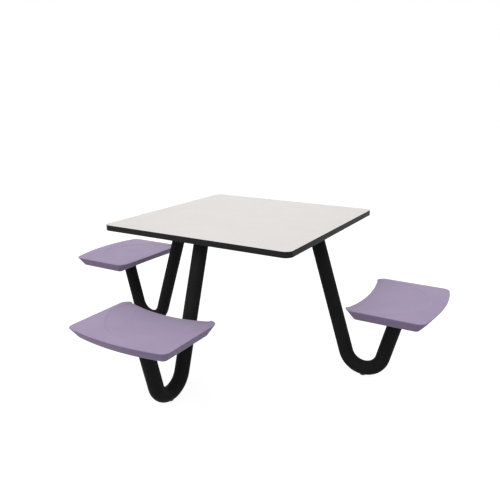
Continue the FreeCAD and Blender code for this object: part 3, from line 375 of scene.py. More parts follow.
def grown(graph, changed=None, start=None, marks=()):
    # the tree's result as a plain mesh; changed holds inputs that differ from the tree's own values
    # marks names the attributes that only the tree needed
    values = {titled(word): value for word, value in {**graph.values, **(changed or {})}.items()}
    holder = linked(graph.tree.name, start or bpy.data.meshes.new(graph.tree.name))
    modifier = holder.modifiers.new("build", "NODES")
    modifier.node_group = graph.tree
    for item in graph.tree.interface.items_tree:
        if values.get(item.name) is not None:
            modifier[item.identifier] = values[item.name]
    depsgraph = bpy.context.evaluated_depsgraph_get()
    depsgraph.update()
    mesh = bpy.data.meshes.new_from_object(holder.evaluated_get(depsgraph))
    # the start mesh has no material, which leaves an empty slot in front
    while mesh.materials and mesh.materials[0] is None:
        mesh.materials.pop(index=0)
    for mark in marks:
        mesh.attributes.remove(mesh.attributes[mark])
    holder.modifiers.remove(modifier)
    bpy.data.objects.remove(holder)
    return mesh


def turnedTree(name, sizes, outline):
    # a turned piece at every place, turned by chance
    # outline gives its rows, each a radius, a share of hexagon and a height
    graph, given = newTree(name, {"places": None, **sizes, "sides": 24, "seed": 0,
                                  "material": finishes["zinc_plated_steel"]})
    rows = outline(given)
    across = given.sides + 1.0
    grid = graph.node("MeshGrid", {"Vertices X": len(rows), "Vertices Y": across})
    index = graph.node("InputIndex")
    row = graph.maths("FLOOR", (index + 0.5) / across)
    angle = (index - row * across) * (2 * math.pi) / given.sides

    def table(column):
        switch = graph.node("IndexSwitch", data_type="FLOAT")
        node = switch.socket.node
        while len(node.index_switch_items) < len(rows):
            node.index_switch_items.new()
        graph.plug(node.inputs["Index"], row)
        for place, item in enumerate(rows):
            graph.plug(node.inputs[place + 1], item[column])
        return switch

    sixth = graph.maths("FLOORED_MODULO", angle, math.pi / 3) - math.pi / 6
    spread = 1.0 / graph.maths("COSINE", sixth) - 1.0
    radius = table(0) * (1.0 + table(1) * spread)
    spot = graph.vector(X=radius * graph.maths("COSINE", angle), Y=radius * graph.maths("SINE", angle),
                        Z=table(2))
    piece = graph.node("SetPosition", {"Geometry": grid, "Position": spot})
    piece = graph.node("MergeByDistance", {"Geometry": piece, "Distance": seamGap})
    turn = graph.node("FunctionNodeRandomValue", {
        "Min": (0.0, 0.0, 0.0), "Max": (0.0, 0.0, 2 * math.pi), "Seed": given.seed}, data_type="FLOAT_VECTOR")
    turn = graph.node("FunctionNodeEulerToRotation", {"Euler": turn})
    pieces = graph.node("InstanceOnPoints", {"Points": given.places, "Instance": piece, "Rotation": turn})
    return endTree(graph, pieces, given.material)


def joined(name, meshes):
    # several closed meshes as one
    shape = bmesh.new()
    for mesh in meshes:
        shape.from_mesh(mesh)
    whole = bpy.data.meshes.new(name)
    shape.to_mesh(whole)
    shape.free()
    whole.materials.append(meshes[0].materials[0])
    return whole


def closeUp(mesh, bridged=False):
    # merges doubles, joins open rings in pairs if asked, and turns every face outward
    shape = bmesh.new()
    shape.from_mesh(mesh)
    bmesh.ops.remove_doubles(shape, verts=shape.verts, dist=mergeGap)
    if bridged:
        rims = [edge for edge in shape.edges if edge.is_boundary]
        for low in (True, False):
            halfway = sum(edge.verts[0].co.x for edge in rims) / len(rims)
            pair = [edge for edge in rims if (edge.verts[0].co.x < halfway) == low]
            bmesh.ops.bridge_loops(shape, edges=pair)
    bmesh.ops.recalc_face_normals(shape, faces=shape.faces)
    shape.to_mesh(mesh)
    shape.free()
    return mesh


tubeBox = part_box("leg_tube_right")
leg = {
    "radius": 0.0365,
    "wall": 0.003,
    "bendRadius": 0.1016,
    "bendReach": middle("floor_glide_right").x - tableCentre.x,
    "topReach": 0.416,
    "topHeight": tubeBox[1].z,
    "seatReach": spindles["right"].x - tableCentre.x,
    "seatHeight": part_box("post_cap_right")[0].z,
    "bendSteps": 56,
    "ringSteps": 72,
}
leg["bendHeight"] = tubeBox[0].z + leg["radius"] + leg["bendRadius"]


def legCorner():
    # where the two straight runs would meet if the bend were left out
    centre = np.array([leg["bendReach"], leg["bendHeight"]])
    lines = []
    for x, z, turn in ((leg["topReach"], leg["topHeight"], 1), (leg["seatReach"], leg["seatHeight"], -1)):
        away = np.array([x, z]) - centre
        reach = math.hypot(*away)
        angle = math.atan2(away[1], away[0]) + turn * math.acos(leg["bendRadius"] / reach)
        touch = centre + leg["bendRadius"] * np.array([math.cos(angle), math.sin(angle)])
        lines.append((np.array([x, z]), touch - np.array([x, z])))
    (start, along), (finish, back) = lines
    share = np.linalg.solve(np.array([along, -back]).T, finish - start)[0]
    corner = start + along * share
    return Vector((corner[0], 0.0, corner[1]))


leg["corner"] = legCorner()


def tubeTree():
    graph, given = newTree("bentTube", {
        "start": Vector((leg["topReach"], 0.0, leg["topHeight"])), "corner": leg["corner"],
        "finish": Vector((leg["seatReach"], 0.0, leg["seatHeight"])),
        **{word: leg[word] for word in ("radius", "wall", "bendRadius", "bendSteps", "ringSteps")},
        "material": finishes["black_powder_coat"]})
    step = graph.node("InputIndex")
    point = given.start
    for number, end in enumerate((given.corner, given.finish)):
        point = graph.node("ShaderNodeMix", {"Factor": step - float(number), 4: point, 5: end}, output=1,
                           data_type="VECTOR")
    route = graph.node("SetPosition", {"Geometry": graph.node("MeshLine", {"Count": 3}), "Position": point})
    line = graph.node("MeshToCurve", {"Mesh": route})
    line = graph.node("FilletCurve", {"Curve": line, "Radius": given.bendRadius,
                                      "Count": given.bendSteps}, mode="POLY")
    for flag, first, last in (("runStart", 1, 0), ("runEnd", 0, 1)):
        end = graph.node("CurveEndpointSelection", {"Start Size": first, "End Size": last})
        line = graph.node("StoreNamedAttribute", {"Geometry": line, "Name": flag, "Value": end},
                          data_type="BOOLEAN", domain="POINT")
    walls = []
    for radius in (given.radius, given.radius - given.wall):
        ring = graph.node("CurvePrimitiveCircle", {"Resolution": given.ringSteps, "Radius": radius})
        walls.append(graph.node("CurveToMesh", {"Curve": line, "Profile Curve": ring}))
    walls[1] = graph.node("FlipFaces", {"Mesh": walls[1]})
    tube = graph.node("JoinGeometry", {"Geometry": walls})
    height = graph.axis(graph.node("InputPosition"), "Z")
    for end, flag in ((given.start, "runStart"), (given.finish, "runEnd")):
        # slides the end ring along its run until it lies level
        run = graph.vectorMaths("SUBTRACT", end, given.corner)
        slide = graph.vectorMaths("SCALE", run, (graph.axis(end, "Z") - height) / graph.axis(run, "Z"))
        chosen = graph.node("InputNamedAttribute", {"Name": flag}, data_type="BOOLEAN")
        tube = graph.node("SetPosition", {"Geometry": tube, "Selection": chosen, "Offset": slide})
    return endTree(graph, tube, given.material)


legTube = closeUp(grown(tubeTree(), marks=("runStart", "runEnd")), bridged=True)
for side in sides:
    tube = legTube.copy()
    tube.transform(about(side))
    placed("leg_tube_bent_" + side, tube, "root", "black_powder_coat", ["leg_tube_" + side])
print("leg tubes bent")


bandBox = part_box("tabletop_edge_band")
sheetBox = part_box("tabletop_laminate")
band = {
    "halfSide": (bandBox[1].x - bandBox[0].x) / 2,
    "corner": 0.0381,
    "cornerSteps": 20,
    "thickness": bandBox[1].z - bandBox[0].z,
    "wall": bandBox[1].x - sheetBox[1].x,
    "upperRound": 0.0010,
    "lowerRound": 0.0015,
    "roundSteps": 6,
    "tongueDepth": 0.009,
    "tongueThickness": 0.0026,
}
sheet = {
    "halfSide": band["halfSide"] - band["wall"],
    "corner": band["corner"] - band["wall"],
    "cornerSteps": band["cornerSteps"],
    "thickness": sheetBox[1].z - sheetBox[0].z,
}


def roundedSquare(graph, given):
    side = given.halfSide * 2.0
    square = graph.node("CurvePrimitiveQuadrilateral", {"Width": side, "Height": side})
    return graph.node("FilletCurve", {"Curve": square, "Radius": given.corner,
                                      "Count": given.cornerSteps}, mode="POLY")


def bandTree():
    # the black edge: a rounded bar round the top, with the tongue that holds it in the board
    graph, given = newTree("edgeBand", {**band, "material": finishes["edge_band"]})
    path = graph.node("SetCurveNormal", {"Curve": roundedSquare(graph, given)}, mode="Z_UP")
    face = graph.node("CurvePrimitiveQuadrilateral", {"Width": given.wall, "Height": given.thickness})
    spot = graph.node("InputPosition")
    outer = graph.maths("GREATER_THAN", graph.axis(spot, "X"), 0.0)
    upper = graph.maths("GREATER_THAN", graph.axis(spot, "Y"), 0.0)
    rounding = outer * (upper * given.upperRound + (1.0 - upper) * given.lowerRound)
    face = graph.node("FilletCurve", {"Curve": face, "Radius": rounding, "Count": given.roundSteps},
                      mode="POLY")
    face = graph.node("SetPosition", {"Geometry": face, "Offset": graph.vector(X=given.wall * -0.5)})
    tongue = graph.node("CurvePrimitiveQuadrilateral", {
        "Width": given.tongueDepth + given.wall * 0.5, "Height": given.tongueThickness})
    back = graph.vector(X=given.wall * -0.75 - given.tongueDepth * 0.5)
    tongue = graph.node("SetPosition", {"Geometry": tongue, "Offset": back})
    section = graph.node("JoinGeometry", {"Geometry": [face, tongue]})
    bar = graph.node("CurveToMesh", {"Curve": path, "Profile Curve": section})
    return endTree(graph, bar, given.material)


def sheetTree():
    graph, given = newTree("laminateSheet", {**sheet, "material": finishes["laminate"]})
    flat = graph.node("FillCurve", {"Curve": roundedSquare(graph, given)}, mode="NGONS")
    under = graph.node("FlipFaces", {"Mesh": flat})
    raised = graph.node("ExtrudeMesh", {"Mesh": flat, "Offset Scale": given.thickness, "Individual": False},
                        mode="FACES")
    whole = graph.node("JoinGeometry", {"Geometry": [under, raised]})
    return endTree(graph, whole, given.material)


for name, tree, slot, node, height in (
        ("edge_band_moulded", bandTree(), "edge_band", "tabletop_edge_band", (bandBox[0].z + bandBox[1].z) / 2),
        ("laminate_sheet", sheetTree(), "laminate", "tabletop_laminate", sheetBox[0].z)):
    mesh = closeUp(grown(tree))
    mesh.transform(Matrix.Translation(tableCentre + Vector((0, 0, height))))
    placed(name, mesh, "root", slot, [node])
print("table top made")


seat = {
    "rimHeight": 0.4472,
    "baseHeight": 0.3955,
    "ceiling": 0.4532,
    "rearDrop": 0.0024,
    "frontCrown": 0.00005,
    "rearCrown": 0.0044,
    "crownStation": 0.260,
    "halfWidth": 0.2720,
    "sideInset": 0.0325,
    # a pair holds the size at the base and the size at the rim
    "inner": {"reach": 0.6714 - 0.868, "inset": 0.0502, "bulge": (0.0060, 0.0270), "corner": (0.015, 0.042)},
    "outer": {"reach": 1.0506 - 0.868, "inset": 0.0316, "bulge": (0.0265, 0.0345), "corner": (0.020, 0.038)},
    "rimRound": 0.0020,
    "baseRound": 0.0060,
    "wall": 0.0060,
    "skin": 0.0060,
    "skinRound": 0.0035,
    "footRound": 0.0008,
    "footSteps": 2,
    "dishCentre": 0.770 - 0.868,
    "dishDepth": 0.0154,
    "dishArc": 0.275,
    "dishEdge": 0.237,
    "dishSquash": 0.075,
    "lipWidth": 0.0168,
    "lipHeight": 0.006,
    "creaseBlend": 0.00035,
    "creaseMargin": 0.005,
    "creaseCuts": 3,
    "shortSteps": 96,
    "longSteps": 132,
    "cornerSteps": 8,
    "roundSteps": 6,
    "meetRounds": 12,
}


def arcPoints(x, y, radius, start, finish, steps):
    # along an arc, without its last point; angles in radians
    angles = start + (finish - start) * np.arange(steps) / steps
    return np.stack([x + radius * np.cos(angles), y + radius * np.sin(angles)], 1)


def linePoints(start, finish, steps):
    share = (np.arange(steps) / steps)[:, None]
    return np.array(start) * (1 - share) + np.array(finish) * share


def seatOutline(share, inset):
    # the seat's outline at its base (share 0), at its rim (share 1) or between, drawn in by inset
    # each of its four runs starts at the middle of a corner
    rest = 1 - share
    half = seat["halfWidth"] - seat["sideInset"] * rest - inset
    ends = []
    for sizes, turn in ((seat["inner"], 1), (seat["outer"], -1)):
        x = sizes["reach"] + turn * sizes["inset"] * rest + turn * inset
        bulge, corner = (sizes[word][1] * share + sizes[word][0] * rest for word in ("bulge", "corner"))
        corner -= inset
        radius = (half * half + bulge * bulge) / (2 * bulge)
        centre = x + bulge - radius
        reach = radius + corner * turn
        rise = half - corner
        ends.append(((centre, radius), (centre + math.sqrt(reach * reach - rise * rise), rise, corner),
                     math.asin(rise / reach)))
    ((innerX, innerR), inner, innerLean), ((outerX, outerR), outer, outerLean) = ends
    quarter = math.pi / 2
    outerMid = (outerLean + quarter) / 2
    innerMid = (quarter + math.pi + innerLean) / 2

    def bend(end, way, start, finish):
        x, y, radius = end
        return arcPoints(x, way * y, radius, start, finish, seat["cornerSteps"])

    return np.concatenate([
        bend(outer, 1, outerMid, quarter),
        linePoints((outer[0], half), (inner[0], half), seat["shortSteps"]),
        bend(inner, 1, quarter, innerMid),
        bend(inner, 1, innerMid, math.pi + innerLean),
        arcPoints(innerX, 0.0, innerR, innerLean, -innerLean, seat["longSteps"]),
        bend(inner, -1, math.pi - innerLean, 2 * math.pi - innerMid),
        bend(inner, -1, 2 * math.pi - innerMid, 3 * quarter),
        linePoints((inner[0], -half), (outer[0], -half), seat["shortSteps"]),
        bend(outer, -1, -quarter, -outerMid),
        bend(outer, -1, -outerMid, -outerLean),
        arcPoints(outerX, 0.0, outerR, -outerLean, outerLean, seat["longSteps"]),
        bend(outer, 1, outerLean, outerMid)])


def softLeast(first, second, blend):
    # the lower of two heights, with the crease between them rounded
    share = np.clip(0.5 + 0.5 * (second - first) / blend, 0.0, 1.0)
    return second + (first - second) * share - blend * share * (1 - share)


def dishReach(x, y):
    # distance from the dish's middle; the dish is drawn in a little toward the seat's outer corners
    ahead = x - seat["dishCentre"]
    reach = np.hypot(ahead, y)
    corner = 2 * np.maximum(ahead, 0.0) * y / np.maximum(reach, 0.001) ** 2
    return reach * (1 + seat["dishSquash"] * corner ** 2)


def seatTop(x, y):
    # the seat's upper surface: a crowned plane, and a round dish whose edge stands up as a lip
    along = (x + seat["crownStation"]) / (2 * seat["crownStation"])
    crown = seat["frontCrown"] + (seat["rearCrown"] - seat["frontCrown"]) * along
    halfSpan = seat["halfWidth"] + seat["wall"]
    plane = seat["rimHeight"] - seat["rearDrop"] * along + crown * (1 - (y / halfSpan) ** 2)
    reach = dishReach(x, y)
    radius = (seat["dishArc"] ** 2 + seat["dishDepth"] ** 2) / (2 * seat["dishDepth"])
    floor = seat["rimHeight"] - seat["dishDepth"]
    bowl = floor + radius - np.sqrt(radius ** 2 - reach ** 2)
    edge = floor + radius - math.sqrt(radius ** 2 - seat["dishEdge"] ** 2)
    lip = edge + (reach - seat["dishEdge"]) * seat["lipHeight"] / seat["lipWidth"]
    dish = -softLeast(-bowl, -lip, seat["creaseBlend"])
    return softLeast(plane, dish, seat["creaseBlend"])


def wallLine(inset):
    # the wall's foot and its direction upward at every outline point
    foot = seatOutline(0.0, inset)
    head = seatOutline((seat["ceiling"] - seat["baseHeight"]) / (seat["rimHeight"] - seat["baseHeight"]), inset)
    low = np.column_stack([foot, np.full(len(foot), seat["baseHeight"])])
    high = np.column_stack([head, np.full(len(head), seat["ceiling"])])
    return low, high - low


def meetSurface(low, run, drop):
    # where each wall line reaches the upper surface lowered by drop
    share = np.ones(len(low))
    for _ in range(seat["meetRounds"]):
        spot = low + run * share[:, None]
        share = (seatTop(spot[:, 0], spot[:, 1]) - drop - low[:, 2]) / run[:, 2]
    return low + run * share[:, None]


def unit(vectors):
    return vectors / np.linalg.norm(vectors, axis=1)[:, None]


def inwardNormals(outline):
    ahead = np.roll(outline, -1, 0) - np.roll(outline, 1, 0)
    return unit(np.stack([-ahead[:, 1], ahead[:, 0]], 1))


def alongSurface(points, inward):
    # unit directions that run inward over the upper surface
    step = 0.0005
    height = seatTop(points[:, 0], points[:, 1])
    beyond = seatTop(points[:, 0] + inward[:, 0] * step, points[:, 1] + inward[:, 1] * step)
    return unit(np.column_stack([inward * step, beyond - height]))


def roundOver(vertex, away, onward, radius, steps):
    # rows of points on an arc that rounds the corner at vertex between two directions
    turn = np.arccos(np.clip(-(away * onward).sum(1), -1, 1))
    tangent = (radius * np.tan(turn / 2))[:, None]
    weight = np.cos(turn / 2)[:, None]
    start = vertex + away * tangent
    finish = vertex + onward * tangent
    rows = []
    for index in range(steps + 1):
        s = index / steps
        amounts = ((1 - s) ** 2, 2 * weight * s * (1 - s), s ** 2)
        rows.append((start * amounts[0] + vertex * amounts[1] + finish * amounts[2]) / sum(amounts))
    return rows


def patch(boundary, surface):
    # a grid of points inside a four-sided boundary, all lying on a surface of height
    nShort = seat["shortSteps"] + 2 * seat["cornerSteps"]
    nLong = seat["longSteps"] + 2 * seat["cornerSteps"]
    xy = boundary[:, :2]
    up = xy[:nShort + 1]
    inner = xy[nShort:nShort + nLong + 1]
    down = xy[nShort + nLong:2 * nShort + nLong + 1][::-1]
    outer = np.vstack([xy[2 * nShort + nLong:], xy[:1]])[::-1]
    u = np.linspace(0, 1, nShort + 1)[:, None, None]
    v = np.linspace(0, 1, nLong + 1)[None, :, None]
    grid = (up[:, None] * (1 - v) + down[:, None] * v + outer[None] * (1 - u) + inner[None] * u
            - up[0] * (1 - u) * (1 - v) - up[-1] * u * (1 - v) - down[0] * (1 - u) * v - down[-1] * u * v)
    return np.dstack([grid, surface(grid[..., 0], grid[..., 1])])


def refineCrease(shape):
    # finer faces where the dish's edge turns, laid back on the surface
    spots = np.array([vert.co for vert in shape.verts])
    reach = dishReach(spots[:, 0], spots[:, 1])
    onTop = np.abs(spots[:, 2] - seatTop(spots[:, 0], spots[:, 1])) < mergeGap
    beyond = reach - seat["dishEdge"]
    near = onTop & (beyond > -seat["creaseMargin"]) & (beyond < seat["lipWidth"])
    shape.verts.index_update()
    edges = [edge for edge in shape.edges if all(near[vert.index] for vert in edge.verts)]
    made = bmesh.ops.subdivide_edges(shape, edges=edges, cuts=seat["creaseCuts"], use_grid_fill=True)
    for vert in {item for item in made["geom_inner"] if isinstance(item, bmesh.types.BMVert)}:
        vert.co.z = seatTop(vert.co.x, vert.co.y)


def stitch(shape, rows, wrap):
    # faces between each row of vertices and the next
    for first, second in zip(rows, rows[1:]):
        for index in range(len(first) if wrap else len(first) - 1):
            after = (index + 1) % len(first)
            shape.faces.new((first[index], first[after], second[after], second[index]))


def seatMoulding():
    # rows of points over the rim, down the wall, round the foot and up inside, then the two skins
    low, run = wallLine(0.0)
    upward = unit(run)
    inward = inwardNormals(low[:, :2])
    flatInward = np.column_stack([inward, np.zeros(len(inward))])
    rim = meetSurface(low, run, 0.0)
    overTop = alongSurface(rim, inward)
    rows = roundOver(rim, overTop, -upward, seat["rimRound"], seat["roundSteps"])
    rows += roundOver(low, upward, flatInward, seat["baseRound"], seat["roundSteps"])
    footLow, footRun = wallLine(seat["wall"])
    footUp = unit(footRun)
    rows += roundOver(footLow, -flatInward, footUp, seat["footRound"], seat["footSteps"])
    under = meetSurface(footLow, footRun, seat["skin"])
    rows += roundOver(under, -footUp, alongSurface(under, inward), seat["skinRound"], seat["roundSteps"])
    rows[0][:, 2] = seatTop(rows[0][:, 0], rows[0][:, 1])
    rows[-1][:, 2] = seatTop(rows[-1][:, 0], rows[-1][:, 1]) - seat["skin"]
    shape = bmesh.new()
    stitch(shape, [[shape.verts.new(point) for point in row] for row in rows], wrap=True)
    for row, surface in ((rows[0], seatTop), (rows[-1], lambda x, y: seatTop(x, y) - seat["skin"])):
        grid = patch(row, surface)
        stitch(shape, [[shape.verts.new(point) for point in line] for line in grid], wrap=False)
    bmesh.ops.remove_doubles(shape, verts=shape.verts, dist=mergeGap)
    refineCrease(shape)
    bmesh.ops.recalc_face_normals(shape, faces=shape.faces)
    mesh = bpy.data.meshes.new("seatMoulding")
    shape.to_mesh(mesh)
    shape.free()
    return mesh


ribs = {
    "offset": 0.098,
    "thickness": 0.0040,
    "bottom": 0.408,
    "height": 0.010,
    "spacing": 0.009,
    "ring": 0.032,
    "ringSteps": 40,
    "bossBottom": 0.406,
    "boss": {"radius": 0.011, "hole": 0.0045, "depth": 0.016, "round": 0.0006},
    "bossSeed": 3,
    "lookFrom": 0.08,
    "lookReach": 0.2,
}


def wallReach(start, direction, height):
    # how far from start, over the seat, a line in this direction is midway through the wall
    share = (height - seat["baseHeight"]) / (seat["rimHeight"] - seat["baseHeight"])
    outline = seatOutline(share, seat["wall"] / 2) - start
    along = outline @ direction
    across = outline @ np.array([-direction[1], direction[0]])
    index = np.flatnonzero((across * np.roll(across, -1) <= 0) & (along > 0))[0]
    after = (index + 1) % len(outline)
    share = across[index] / (across[index] - across[after])
    return along[index] * (1 - share) + along[after] * share


def ovalPath(x, z, halfX, halfY, steps):
    # points round an oval, and the lines between them
    angles = [2 * math.pi * step / steps for step in range(steps)]
    points = [(x + halfX * math.cos(angle), halfY * math.sin(angle), z) for angle in angles]
    return points, [(step, (step + 1) % steps) for step in range(steps)]


def ribPlan():
    # the ribs' lines at their lower edge; lean is how far each point moves sideways for its rise
    points = []
    leans = []
    lines = []
    height = ribs["bottom"] + ribs["height"] / 2

    def line(ends, slopes):
        lines.append((len(points), len(points) + 1))
        points.extend((x, y, height) for x, y in ends)
        leans.extend((x, y, 1.0) for x, y in slopes)

    for along in (np.array([1.0, 0.0]), np.array([0.0, 1.0])):
        for offset in (-ribs["offset"], ribs["offset"]):
            start = along[::-1] * offset
            ends = [start + way * wallReach(start, way, ribs["bottom"]) for way in (along, -along)]
            tops = [start + way * wallReach(start, way, seat["rimHeight"]) for way in (along, -along)]
            line(ends, [(top - end) / (seat["rimHeight"] - ribs["bottom"]) for top, end in zip(tops, ends)])
        for way in (along, -along):
            line((way * ribs["ring"], way * ribs["offset"]), ((0, 0), (0, 0)))
    ring, edges = ovalPath(0.0, height, ribs["ring"], ribs["ring"], ribs["ringSteps"])
    lines += [(first + len(points), second + len(points)) for first, second in edges]
    plan = meshOf("ribPlan", points + ring, lines)
    lean = plan.attributes.new("lean", "FLOAT_VECTOR", "POINT")
    for item, value in zip(lean.data, leans + [(0.0, 0.0, 1.0)] * len(ring)):
        item.vector = value
    return plan


def ribTree(moulding):
    # bars along the plan's lines, whose upper side runs up into the moulding
    graph, given = newTree("seatRibs", {
        "plan": None, "moulding": moulding, "middle": ribs["bottom"] + ribs["height"] / 2,
        **{word: ribs[word] for word in ("thickness", "height", "spacing", "lookFrom", "lookReach")},
        "sunk": seat["skin"] / 2, "material": finishes["seat_plastic"]})
    line = graph.lineAlong(given.plan, given.spacing)
    line = graph.node("SetCurveNormal", {"Curve": line}, mode="Z_UP")
    section = graph.node("CurvePrimitiveQuadrilateral", {"Width": given.thickness, "Height": given.height})
    bars = graph.node("CurveToMesh", {"Curve": line, "Profile Curve": section, "Fill Caps": True})
    spot = graph.node("InputPosition")
    upper = graph.maths("GREATER_THAN", graph.axis(spot, "Z"), given.middle)
    lean = graph.node("InputNamedAttribute", {"Name": "lean"}, data_type="FLOAT_VECTOR")
    # looks back down each leaning line from above, onto the seat's upper surface
    foot = graph.vectorMaths("SUBTRACT", spot, graph.vector(Z=given.height))
    above = graph.vectorMaths("ADD", foot, graph.vectorMaths("SCALE", lean, given.lookFrom))
    down = graph.vectorMaths("SCALE", lean, -1.0)
    target = graph.node("ObjectInfo", {"Object": given.moulding}, output="Geometry")
    hit = graph.node("Raycast", {"Target Geometry": target, "Source Position": above, "Ray Direction": down,
                                 "Ray Length": given.lookReach}, output="Hit Position")
    head = graph.vectorMaths("ADD", hit, graph.vectorMaths("SCALE", down, given.sunk))
    bars = graph.node("SetPosition", {"Geometry": bars, "Selection": upper, "Position": head})
    return endTree(graph, bars, given.material)


def bossOutline(given):
    return [(0.0, 0.0, given.depth), (given.hole, 0.0, given.depth), (given.hole, 0.0, given.round),
            (given.hole + given.round, 0.0, 0.0), (given.radius - given.round, 0.0, 0.0),
            (given.radius, 0.0, given.round), (given.radius, 0.0, given.height), (0.0, 0.0, given.height)]


def seatUnderside(moulding):
    # ribs in line with the screws, a ring and a cross about the post, and four bosses
    holder = linked("seatTarget", moulding)
    meshes = [closeUp(grown(ribTree(holder), start=ribPlan(), marks=["lean"]))]
    bpy.data.objects.remove(holder)
    tree = turnedTree("seatBosses", {**ribs["boss"], "height": 0.0}, bossOutline)
    for x in (-ribs["offset"], ribs["offset"]):
        height = float(seatTop(x, ribs["offset"])) - seat["skin"] / 2 - ribs["bossBottom"]
        places = [(x, y, ribs["bossBottom"]) for y in (-ribs["offset"], ribs["offset"])]
        changed = {"height": height, "seed": ribs["bossSeed"], "material": finishes["seat_plastic"]}
        meshes.append(closeUp(grown(tree, changed, meshOf("bossPlaces", places))))
    return meshes


def markFacing(mesh):
    # how far the surface faces up at each point, which the seat's finish uses to paint the upper faces paler and
    # the walls deeper, as painted light and shade
    upward = np.array([normal.vector.z for normal in mesh.vertex_normals])
    mesh.attributes.new("facing", "FLOAT", "POINT").data.foreach_set("value", upward)


skinMesh = seatMoulding()
skinMesh.materials.append(finishes["seat_plastic"])
seatMesh = joined("seatWithRibs", [skinMesh, *seatUnderside(skinMesh)])
markFacing(seatMesh)
for side in sides:
    moulding = seatMesh.copy()
    moulding.transform(about(side, spindles[side]))
    placed("seat_moulding_" + side, moulding, "seat_" + side, "seat_plastic", ["seat_shell_" + side],
           smoothAngle=40.0)
print("seats moulded:", len(seatMesh.polygons), "faces each")


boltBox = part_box("hub_bolts")
fixings = {
    "bevel": 0.0009,
    "bevelSteps": 4,
    "tip": 0.0012,
    "lead": 0.3,            # of the bevel, broken off the socket's edge
    "cone": 0.25,           # of the socket's radius, sunk in the middle of its floor
    "taper": 0.6,           # of the tip's length, drawn in at its end
    "bearing": 0.93,        # of a bolt's flats, for its round faces
    "crowning": 0.55,       # how much of a hexagon is left halfway up the crown
    "tabletopScrew": {
        "head": 0.008, "rise": 0.005, "socket": 0.0025, "sink": 0.0032, "shank": 0.004, "length": 0.024},
    "seatScrew": {
        "head": 0.006, "rise": 0.004, "socket": 0.0020, "sink": 0.0025, "shank": 0.003, "length": 0.018},
    "retainingScrew": {
        "head": 0.008, "rise": 0.006, "socket": 0.0040, "sink": 0.0042, "shank": 0.005, "length": 0.026},
    "hubBolt": {
        "flats": 0.0085, "rise": 0.0064, "shank": 0.005, "crown": 0.0011, "washer": 0.0004},
}
fixings["hubBolt"]["length"] = boltBox[1].z - boltBox[0].z - fixings["hubBolt"]["rise"]


def socketOutline(given):
    # a cap screw, head down: hexagon socket, rounded head, plain shank
    face = -1.0 * given.rise
    lead = given.bevel * fixings["lead"]
    floor = face + given.sink
    rows = [(0.0, 1.0, floor + given.socket * fixings["cone"]), (given.socket, 1.0, floor),
            (given.socket, 1.0, face + lead), (given.socket + lead, 1.0, face)]
    for angle in np.linspace(0, math.pi / 2, fixings["bevelSteps"] + 1):
        rows.append((given.head - given.bevel * (1 - math.sin(angle)), 0.0,
                     face + given.bevel * (1 - math.cos(angle))))
    return rows + [(given.head, 0.0, 0.0), (given.shank, 0.0, 0.0), (given.shank, 0.0, given.length - given.tip),
                   (given.shank - given.tip * fixings["taper"], 0.0, given.length), (0.0, 0.0, given.length)]


def boltOutline(given):
    # a hexagon bolt, head down: crowned corners, a washer face and a plain shank
    face = -1.0 * given.rise
    washer = -1.0 * given.washer
    inner = given.flats * fixings["bearing"]
    return [(0.0, 0.0, face), (inner, 0.0, face), (given.flats, fixings["crowning"], face + given.crown * 0.5),
            (given.flats, 1.0, face + given.crown), (given.flats, 1.0, washer), (inner, 0.0, washer),
            (inner, 0.0, 0.0), (given.shank, 0.0, 0.0), (given.shank, 0.0, given.length),
            (0.0, 0.0, given.length)]


def nodePlaces(node, height):
    # the middles of a node's separate solids, set at one height
    shape = bmesh.new()
    shape.from_mesh(frame["nodes"][node].data)
    bmesh.ops.remove_doubles(shape, verts=shape.verts, dist=seamGap / 2)
    left = set(shape.verts)
    places = []
    while left:
        solid = set()
        waiting = [left.pop()]
        while waiting:
            vert = waiting.pop()
            solid.add(vert)
            for edge in vert.link_edges:
                other = edge.other_vert(vert)
                if other in left:
                    left.discard(other)
                    waiting.append(other)
        xs, ys = ([vert.co[axis] for vert in solid] for axis in (0, 1))
        places.append(((min(xs) + max(xs)) / 2, (min(ys) + max(ys)) / 2, height))
    shape.free()
    return sorted(places)


def fasten(name, tree, kind, height, body, node, seed, flipped=False):
    # one fastener of this kind on every solid of the node, with its head at this height
    places = meshOf(name, nodePlaces(node, -height if flipped else height))
    mesh = grown(tree, {**fixings[kind], "seed": seed}, places)
    if flipped:
        mesh.transform(Matrix.Scale(-1.0, 4, (0, 0, 1)))
    placed(name, closeUp(mesh), body, "zinc_plated_steel", [node], smoothAngle=30.0)


screwTree = turnedTree("capScrews", {**fixings["seatScrew"], "bevel": fixings["bevel"], "tip": fixings["tip"]},
                       socketOutline)
boltTree = turnedTree("hexBolts", fixings["hubBolt"], boltOutline)
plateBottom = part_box("leg_plate_right")[0].z
fasten("tabletop_cap_screws", screwTree, "tabletopScrew", plateBottom, "root", "tabletop_screws", seed=11)
for number, side in enumerate(sides):
    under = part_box("seat_screws_" + side)[0].z + fixings["seatScrew"]["rise"]
    fasten("seat_cap_screws_" + side, screwTree, "seatScrew", under, "seat_" + side, "seat_screws_" + side,
           seed=21 + number)
fasten("retaining_cap_screws", screwTree, "retainingScrew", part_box("retaining_washers")[1].z, "root",
       "retaining_screws", seed=31, flipped=True)
fasten("hub_hex_bolts", boltTree, "hubBolt", boltBox[0].z + fixings["hubBolt"]["rise"], "root", "hub_bolts",
       seed=41)
print("screws and bolts set")


welds = {
    "shape": {
        "bead": 0.0030, "pitch": 0.0026, "ripple": 0.13, "stray": 0.05, "spacing": 0.0009, "ringSteps": 8},
    "sleeveBead": 0.0024,
    "armBead": 0.0026,
    "ovalSteps": 90,
    "sleeveRadius": 0.02305,
    "sleeveDrop": 0.012,
    "armStart": 0.004,
    "armEnd": 0.040,
}


